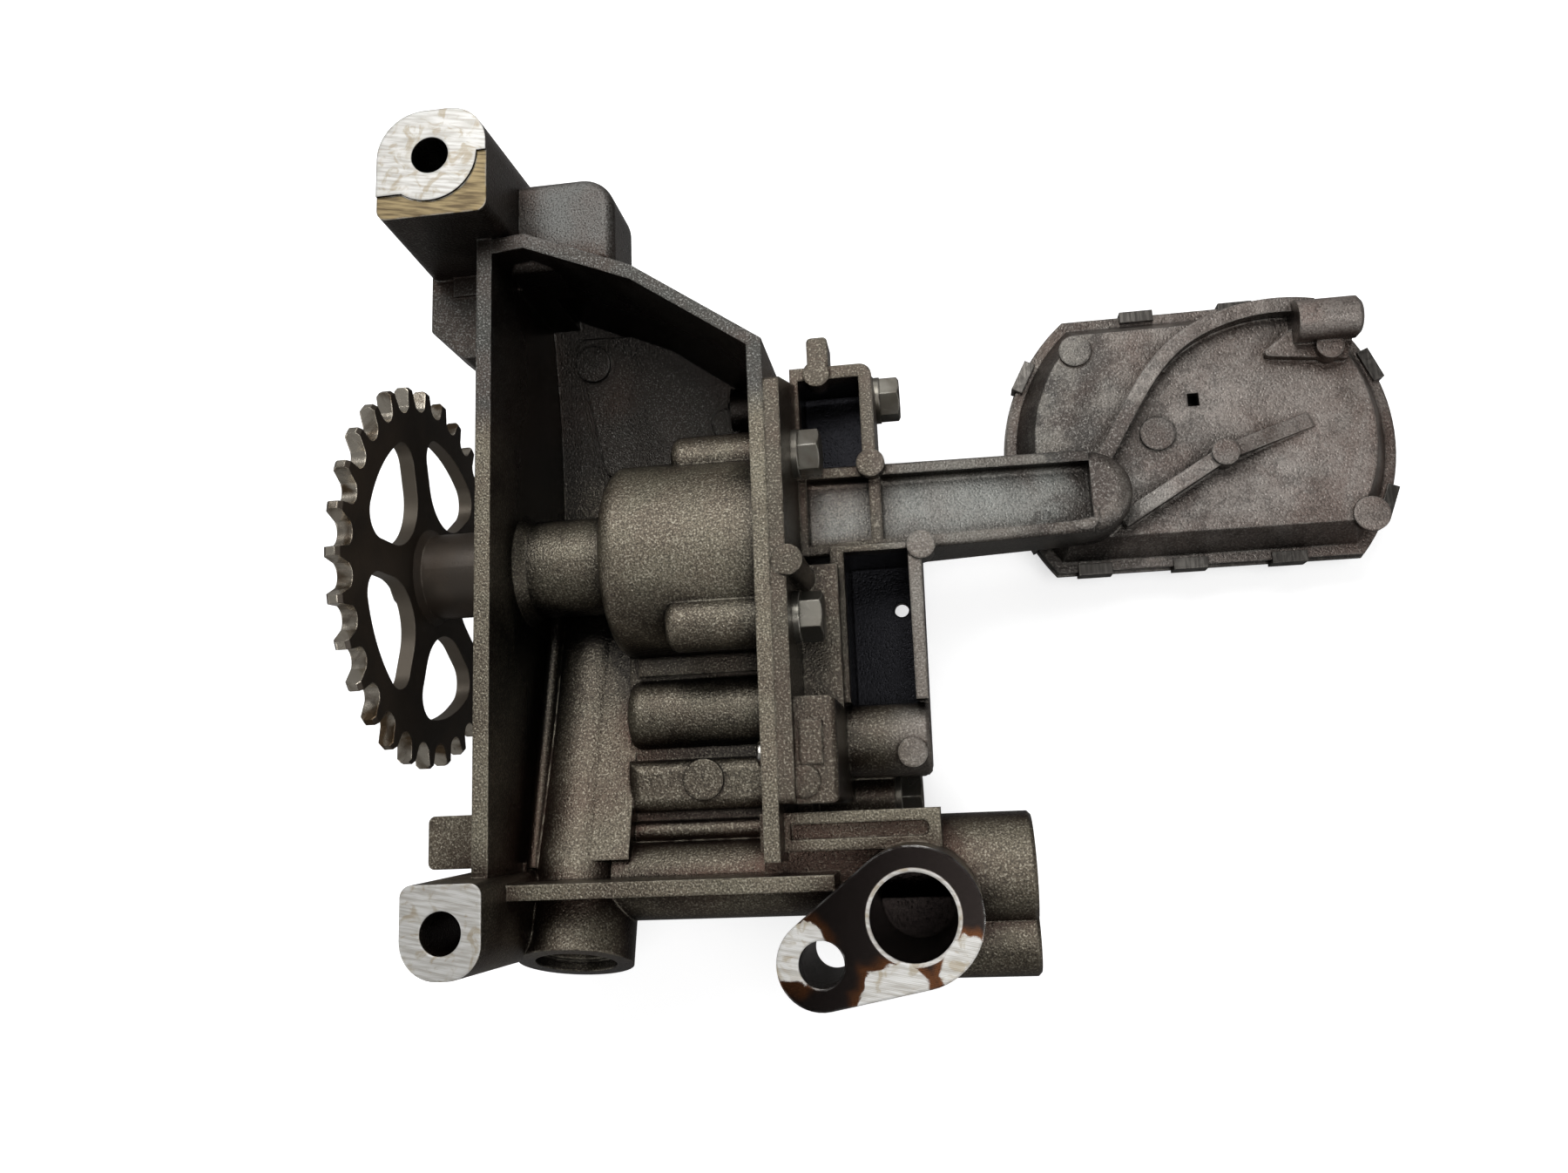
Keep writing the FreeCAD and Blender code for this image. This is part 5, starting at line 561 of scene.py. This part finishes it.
def cover_finish():
    """Olive flange, grey arm with a brighter channel that is partly a painted highlight, brown smeared
    bell, and pockets painted black for shade.
    """
    material, tree, shader = new_finish("cover casting", DRY_METALLIC, 0.42)
    skin = place_group(tree, skin_group, Grain=BLAST_GRAIN * COVER_GRAIN_SHARE)
    film_and_shade = place_group(tree, oil_and_shade_group, Rim=-0.045, Floor=-0.150, Amount=0.85, Corner=0.010)
    edge = place_group(tree, edge_group, Radius=0.0009)
    place = put(tree, "ShaderNodeTexCoord")
    spot = put(tree, "ShaderNodeSeparateXYZ")
    cloud = put(tree, "ShaderNodeTexNoise", {"Scale": CLOUD_SCALE, "Detail": 5.0,
                                             "Distortion": 0.9})
    smear = put(tree, "ShaderNodeTexNoise", {"Scale": SMEAR_SCALE, "Detail": 8.0,
                                             "Roughness": 0.72})
    join(tree, (place.outputs["Object"], spot.inputs["Vector"]),
         (place.outputs["Object"], cloud.inputs["Vector"]),
         (place.outputs["Object"], smear.inputs["Vector"]))
    cast = blend_colours(tree, ramp(tree, spot.outputs["X"], FLANGE_END, ARM_START),
                         COVER_OLIVE, CAST_GREY)
    # Partly a painted highlight: the channel floor is a lighter, cooler grey, fading to the darker arm
    # at its borders.
    cast = blend_colours(tree, in_channel(tree, place), cast, CHANNEL_GREY)
    on_bell = ramp(tree, spot.outputs["X"], BELL_START, BELL_MIDDLE)
    brushed = place_group(tree, milled_group, Turn=0.9, Pitch=BRUSH_PITCH)
    cast = blend_colours(tree, reckon(tree, "MULTIPLY", on_bell, BROWN_SHARE), cast, BELL_BROWN)
    # The bell turns darker and redder towards its lower slope, and in cloudy patches.
    low_side = ramp(tree, spot.outputs["Y"], LOWER_SLOPE + SLOPE_SOFT, LOWER_SLOPE)
    reddish = reckon(tree, "ADD", ramp(tree, cloud.outputs["Fac"], *CLOUD_STEP),
                     reckon(tree, "MULTIPLY", low_side, SLOPE_SHARE))
    reddish = reckon(tree, "MULTIPLY", reddish, reckon(tree, "MULTIPLY", on_bell, RED_SHARE))
    cast = blend_colours(tree, reddish, cast, BELL_RED)
    smeared = reckon(tree, "MULTIPLY", ramp(tree, smear.outputs["Fac"], *SMEAR_STEP),
                     ramp(tree, spot.outputs["X"], BELL_MIDDLE + SMEAR_REACH, BELL_START))
    smeared = reckon(tree, "MULTIPLY", smeared, ramp(tree, spot.outputs["X"], *SMEAR_START))
    cast = blend_colours(tree, reckon(tree, "MULTIPLY", smeared, SMEAR_SHARE), cast, BELL_DARK)
    scratched = reckon(tree, "MULTIPLY", brushed.outputs["Scuff"],
                       reckon(tree, "MULTIPLY", on_bell, BRUSH_SHARE))
    cast = blend_colours(tree, scratched, cast, BELL_DARK)
    fleck = blend_colours(tree, ramp(tree, spot.outputs["X"], FLANGE_END, ARM_START),
                          CAST_WORN_AND_GLINT, COVER_FLECK)
    colour = cast_colours(tree, cast, fleck, film_and_shade, skin, edge, contrast=COVER_CONTRAST)
    dark_glossy = None
    # Painted shade: the pockets are painted black and kept glossy, with the higher metallic of the
    # oiled and shaded parts.
    for low, high in POCKETS:
        inside = inside_pocket(tree, place, low, high)
        dark_glossy = inside if dark_glossy is None else reckon(tree, "MAXIMUM", dark_glossy, inside)
    colour = blend_colours(tree, dark_glossy, colour, POCKET_BLACK)
    polish = put(tree, "ShaderNodeMix", data_type="FLOAT")
    polish.inputs[3].default_value = WET_ROUGHNESS
    oiled_and_shaded = reckon(tree, "MAXIMUM", film_and_shade.outputs["Film and shade"], dark_glossy)
    join(tree, (dark_glossy, polish.inputs[0]),
         (between(tree, film_and_shade.outputs["Film and shade"], *COVER_ROUGHNESS), polish.inputs[2]),
         (between(tree, oiled_and_shaded, DRY_METALLIC, OILED_AND_SHADED_METALLIC), shader.inputs["Metallic"]))
    grain = put(tree, "ShaderNodeBump", {"Distance": GRAIN_DEPTH, "Strength": COVER_GRAIN_STRENGTH})
    wire_surface(tree, shader, colour, polish.outputs[0], grain, skin.outputs["Height"], edge)
    return material


coat("pump_cover", cover_finish())


# Strainer plate and screen.
# Pressed sheet steel, dark and oily; folded tabs clinch the plate over the rim of the bell.

SHEET_DARK = (0.060, 0.055, 0.050, 1)
SHEET_RUB = (0.240, 0.225, 0.200, 1)
SCREEN_GREY = (0.200, 0.190, 0.175, 1)
SHEET_STREAK_SHARE = 0.30
SHEET_EDGE_SHARE = 0.7
SHEET_ROUGHNESS = (0.30, 0.48)
FINE_RELIEF = 0.00002


def sheet_finish(name, plain):
    """Rolled sheet with faint rolling streaks and rubbed folds, darkened by oil with painted shade on
    upright faces, in corners and towards the bottom.
    """
    material, tree, shader = new_finish(name, 0.85, 0.36)
    lines = place_group(tree, milled_group, Turn=0.0, Pitch=600.0)
    film_and_shade = place_group(tree, oil_and_shade_group, Rim=-0.072, Floor=-0.090, Amount=0.7)
    edge = place_group(tree, edge_group, Radius=0.0004)
    colour = blend_colours(tree, reckon(tree, "MULTIPLY", lines.outputs["Streak"], SHEET_STREAK_SHARE),
                           plain, SHEET_RUB)
    colour = blend_colours(tree, film_and_shade.outputs["Film and shade"], colour, CAST_SHADE)
    colour = blend_colours(tree, reckon(tree, "MULTIPLY", edge.outputs["Edge"], SHEET_EDGE_SHARE),
                           colour, SHEET_RUB)
    rough = between(tree, lines.outputs["Scuff"], *SHEET_ROUGHNESS)
    bump = put(tree, "ShaderNodeBump", {"Distance": FINE_RELIEF, "Strength": 0.6})
    wire_surface(tree, shader, colour, rough, bump, lines.outputs["Streak"], edge)
    return material


coat("strainer_plate", sheet_finish("dark sheet steel", SHEET_DARK))
coat("strainer_screen", sheet_finish("screen sheet", SCREEN_GREY))


# Bolts, washers, nut and cup plug.
# Zinc-plated steel, dulled and browned by oil, with bright corners where the spanner went on.

ZINC = (0.190, 0.180, 0.155, 1)
ZINC_DIRT = (0.055, 0.044, 0.031, 1)
ZINC_BRIGHT = (0.480, 0.465, 0.420, 1)
DIRT_SHARE = 0.75
ZINC_ROUGHNESS = (0.26, 0.46)


def plated_finish():
    """Dull zinc with dirt in patches and bright corners."""
    material, tree, shader = new_finish("dull zinc", 0.9, 0.34)
    skin = place_group(tree, skin_group, Grain=900.0)
    lines = place_group(tree, milled_group, Turn=0.4, Pitch=1400.0)
    edge = place_group(tree, edge_group, Radius=0.0005)
    colour = blend_colours(tree, reckon(tree, "MULTIPLY", skin.outputs["Mottle"], DIRT_SHARE),
                           ZINC, ZINC_DIRT)
    colour = blend_colours(tree, edge.outputs["Edge"], colour, ZINC_BRIGHT)
    rough = between(tree, skin.outputs["Mottle"], *ZINC_ROUGHNESS)
    bump = put(tree, "ShaderNodeBump", {"Distance": FINE_RELIEF, "Strength": 0.5})
    wire_surface(tree, shader, colour, rough, bump, lines.outputs["Scuff"], edge)
    return material


zinc = plated_finish()
for name in ("cover_bolts", "cover_washers", "box_bolts", "box_washers", "sprocket_washer",
             "sprocket_nut", "gallery_plug"):
    coat(name, zinc)


# Chain sprocket.
# Sintered steel wheel with five windows and a long hub, keyed to the shaft by two flats.
# The faces are steamed dark; the chain has polished the tooth flanks to bright bronze-grey.

SPROCKET_DARK = (0.046, 0.037, 0.029, 1)
SPROCKET_BROWN = (0.085, 0.062, 0.044, 1)
WINDOW_WALL = (0.110, 0.092, 0.070, 1)
TOOTH_BRIGHT = (0.560, 0.510, 0.430, 1)
TOOTH_BROWN = (0.120, 0.082, 0.048, 1)
SHAFT_LINE = (0.0, 0.0812, -0.0400)
TOOTH_FOOT = 0.0402
TOOTH_SOFT = 0.0008
HUB_REACH = 0.0140
HUB_SOFT = 0.001
SIDEWAYS_STEP = (0.75, 0.35)
CHAIN_WEAR_STEP = (1.6, 0.1)
POLISH_SCALE = 95.0
POLISH_STEP = (0.45, 0.66)
BROWN_FACE_SHARE = 0.5
RIM_SHARE = 0.6
WALL_SHARE = 0.8
SPROCKET_METALLIC = (0.55, 0.95)
SPROCKET_ROUGHNESS = (0.42, 0.20)
SPROCKET_RELIEF = 0.00003


def sprocket_finish():
    """Dark faces and hub, with polished flanks round the rim."""
    material, tree, shader = new_finish("sprocket steel", SPROCKET_METALLIC[0], 0.38)
    skin = place_group(tree, skin_group, Grain=1700.0)
    lines = place_group(tree, milled_group, Turn=0.0, Pitch=1500.0)
    edge = place_group(tree, edge_group, Radius=0.0004)
    place = put(tree, "ShaderNodeTexCoord")
    flat = put(tree, "ShaderNodeVectorMath", operation="MULTIPLY")
    flat.inputs[1].default_value = (0, 1, 1)
    reach = put(tree, "ShaderNodeVectorMath", operation="DISTANCE")
    reach.inputs[1].default_value = SHAFT_LINE
    lean = put(tree, "ShaderNodeSeparateXYZ")
    side = put(tree, "ShaderNodeMath", operation="ABSOLUTE")
    join(tree, (place.outputs["Object"], flat.inputs[0]), (flat.outputs[0], reach.inputs[0]),
         (place.outputs["Normal"], lean.inputs["Vector"]), (lean.outputs["X"], side.inputs[0]))
    toothed = ramp(tree, reach.outputs["Value"], TOOTH_FOOT, TOOTH_FOOT + TOOTH_SOFT)
    sideways = ramp(tree, side.outputs[0], *SIDEWAYS_STEP)
    flank = reckon(tree, "MULTIPLY", toothed, sideways)
    worn = reckon(tree, "MULTIPLY", flank, ramp(tree, lines.outputs["Scuff"], *CHAIN_WEAR_STEP))
    walls = reckon(tree, "SUBTRACT", sideways, flank)
    walls = reckon(tree, "MULTIPLY", walls,
                   ramp(tree, reach.outputs["Value"], HUB_REACH, HUB_REACH + HUB_SOFT))
    polish = put(tree, "ShaderNodeTexNoise", {"Scale": POLISH_SCALE, "Detail": 4.0,
                                              "Distortion": 1.0})
    join(tree, (place.outputs["Object"], polish.inputs["Vector"]))
    tooth = blend_colours(tree, ramp(tree, polish.outputs["Fac"], *POLISH_STEP),
                          TOOTH_BRIGHT, TOOTH_BROWN)
    colour = blend_colours(tree, reckon(tree, "MULTIPLY", skin.outputs["Mottle"], BROWN_FACE_SHARE),
                           SPROCKET_DARK, SPROCKET_BROWN)
    colour = blend_colours(tree, reckon(tree, "MULTIPLY", edge.outputs["Edge"], RIM_SHARE),
                           colour, CAST_WORN_AND_GLINT)
    colour = blend_colours(tree, reckon(tree, "MULTIPLY", walls, WALL_SHARE),
                           colour, WINDOW_WALL)
    colour = blend_colours(tree, worn, colour, tooth)
    join(tree, (between(tree, worn, *SPROCKET_METALLIC), shader.inputs["Metallic"]))
    rough = between(tree, worn, *SPROCKET_ROUGHNESS)
    bump = put(tree, "ShaderNodeBump", {"Distance": SPROCKET_RELIEF, "Strength": 0.6})
    wire_surface(tree, shader, colour, rough, bump, skin.outputs["Height"], edge)
    return material


coat("drive_sprocket", sprocket_finish())


# Shaft, dowels, rotors and relief valve pieces.
# Ground steel, wet with oil; the bushes are bearing bronze and the seal is black rubber.

GROUND_STEEL = (0.420, 0.410, 0.390, 1)
SINTERED_STEEL = (0.300, 0.290, 0.270, 1)
SPRING_STEEL = (0.110, 0.105, 0.100, 1)
BEARING_BRONZE = (0.420, 0.230, 0.090, 1)
SEAL_BLACK = (0.012, 0.012, 0.012, 1)
FILM_MOTTLE_SHARE = 0.35
GRINDING_SHARE = 0.25
ROUGHNESS_SPREAD = 0.14
GRINDING_RELIEF = 0.00001


def ground_finish(name, plain, metallic, roughness):
    """Fine grinding marks under a thin layer of oil."""
    material, tree, shader = new_finish(name, metallic, roughness)
    skin = place_group(tree, skin_group, Grain=700.0)
    lines = place_group(tree, milled_group, Turn=1.57, Pitch=1900.0)
    edge = place_group(tree, edge_group, Radius=0.0004)
    colour = blend_colours(tree, reckon(tree, "MULTIPLY", skin.outputs["Mottle"], FILM_MOTTLE_SHARE),
                           plain, CAST_SHADE)
    colour = blend_colours(tree, reckon(tree, "MULTIPLY", lines.outputs["Streak"], GRINDING_SHARE),
                           colour, CAST_WORN_AND_GLINT)
    rough = between(tree, lines.outputs["Scuff"], roughness, roughness + ROUGHNESS_SPREAD)
    bump = put(tree, "ShaderNodeBump", {"Distance": GRINDING_RELIEF, "Strength": 0.5})
    wire_surface(tree, shader, colour, rough, bump, lines.outputs["Height"], edge)
    return material


ground = ground_finish("ground steel", GROUND_STEEL, 1.0, 0.22)
sintered = ground_finish("sintered steel", SINTERED_STEEL, 0.95, 0.32)
spring = ground_finish("spring steel", SPRING_STEEL, 0.9, 0.30)
bronze = ground_finish("bearing bronze", BEARING_BRONZE, 1.0, 0.30)
seal = ground_finish("seal rubber", SEAL_BLACK, 0.0, 0.45)
for names, finish in ((("drive_shaft", "joint_dowels", "relief_piston", "relief_sleeve"), ground),
                      (("inner_rotor", "outer_rotor"), sintered),
                      (("relief_spring", "relief_circlip"), spring),
                      (("shaft_bushes",), bronze), (("relief_o_ring",), seal)):
    for name in names:
        coat(name, finish)

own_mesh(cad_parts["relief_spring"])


# Floor, light and camera.
# A pale floor, lifted to near white for the camera, more so with distance from the part.
# Two main lamps, the larger one above the far side, three side fills and the photo's camera.

FLOOR_Z = -0.0885
FLOOR_SIZE = 6.0
FLOOR_WHITE = (0.80, 0.80, 0.80, 1)
FLOOR_UNLIT = (0.16, 0.155, 0.15, 1)
FLOOR_LIFT = 0.55
FAR_FLOOR_LIFT = 0.85
FAR_FLOOR = 1.2
WORLD_LIGHT = 0.20
WORLD_SEEN = 1.0
LAMPS = (
    ((-0.02, 0.52, 0.62), 0.50, 4.6),
    ((0.22, -0.06, 0.66), 0.30, 1.6),
    ((-0.70, -0.30, 0.22), 0.50, 1.9),
    ((0.75, -0.35, 0.25), 0.50, 1.5),
    ((0.10, 0.95, 0.20), 0.50, 1.3),
)
AIM = (0.10, 0.08, -0.04)
CAMERA_RIGHT = (0.98946, -0.03999, -0.13917)
CAMERA_DOWN = (-0.06469, -0.98195, -0.17776)
CAMERA_AHEAD = (-0.12955, 0.18489, -0.97418)
CAMERA_PLACE = (0.10263, 0.02182, 0.23118)
SENSOR_WIDTH = 36.0
FOCAL_LENGTH = 27.04
NEAR_CLIP = 0.01

floor_mesh = bpy.data.meshes.new("floor")
half = FLOOR_SIZE / 2
floor_mesh.from_pydata([(-half, -half, FLOOR_Z), (half, -half, FLOOR_Z),
                        (half, half, FLOOR_Z), (-half, half, FLOOR_Z)], [], [(0, 1, 2, 3)])
floor = bpy.data.objects.new("floor", floor_mesh)
bpy.context.scene.collection.objects.link(floor)
paper, tree, shader = new_finish("white paper", 0.0, 0.9)
shader.inputs["Emission Color"].default_value = (1, 1, 1, 1)
path = put(tree, "ShaderNodeLightPath")
lift = put(tree, "ShaderNodeMath", operation="MULTIPLY")
spread = put(tree, "ShaderNodeTexCoord")
far = put(tree, "ShaderNodeVectorMath", operation="DISTANCE")
far.inputs[1].default_value = (*AIM[:2], FLOOR_Z)
join(tree, (spread.outputs["Object"], far.inputs[0]),
     (ramp(tree, far.outputs["Value"], FAR_FLOOR / 4, FAR_FLOOR, FLOOR_LIFT, FAR_FLOOR_LIFT),
      lift.inputs[1]))
sheet_tone = blend_colours(tree, 0.0, FLOOR_UNLIT, FLOOR_WHITE)
join(tree, (path.outputs["Is Camera Ray"], lift.inputs[0]),
     (path.outputs["Is Camera Ray"], sheet_tone.node.inputs["Factor"]),
     (sheet_tone, shader.inputs["Base Color"]),
     (lift.outputs[0], shader.inputs["Emission Strength"]))
floor_mesh.materials.append(paper)

world = bpy.data.worlds.new("daylight")
world.use_nodes = True
bpy.context.scene.world = world
sky = world.node_tree.nodes["Background"]
sky.inputs["Color"].default_value = (1, 1, 1, 1)
path = put(world.node_tree, "ShaderNodeLightPath")
level = between(world.node_tree, path.outputs["Is Camera Ray"], WORLD_LIGHT, WORLD_SEEN)
join(world.node_tree, (level, sky.inputs["Strength"]))

for number, (place, size, power) in enumerate(LAMPS):
    lamp = bpy.data.lights.new("lamp_%d" % number, "AREA")
    lamp.size = size
    lamp.energy = power
    holder = bpy.data.objects.new("lamp_%d" % number, lamp)
    holder.location = place
    holder.rotation_euler = (Vector(AIM) - Vector(place)).to_track_quat("-Z", "Y").to_euler()
    bpy.context.scene.collection.objects.link(holder)

lens = bpy.data.cameras.new("camera")
lens.sensor_width = SENSOR_WIDTH
lens.lens = FOCAL_LENGTH
lens.clip_start = NEAR_CLIP
camera = bpy.data.objects.new("camera", lens)
axes = (Vector(CAMERA_RIGHT), -Vector(CAMERA_DOWN), -Vector(CAMERA_AHEAD))
camera.matrix_world = Matrix.Translation(CAMERA_PLACE) @ Matrix(axes).transposed().to_4x4()
bpy.context.scene.collection.objects.link(camera)
bpy.context.scene.camera = camera
bpy.context.scene.view_settings.view_transform = "Standard"
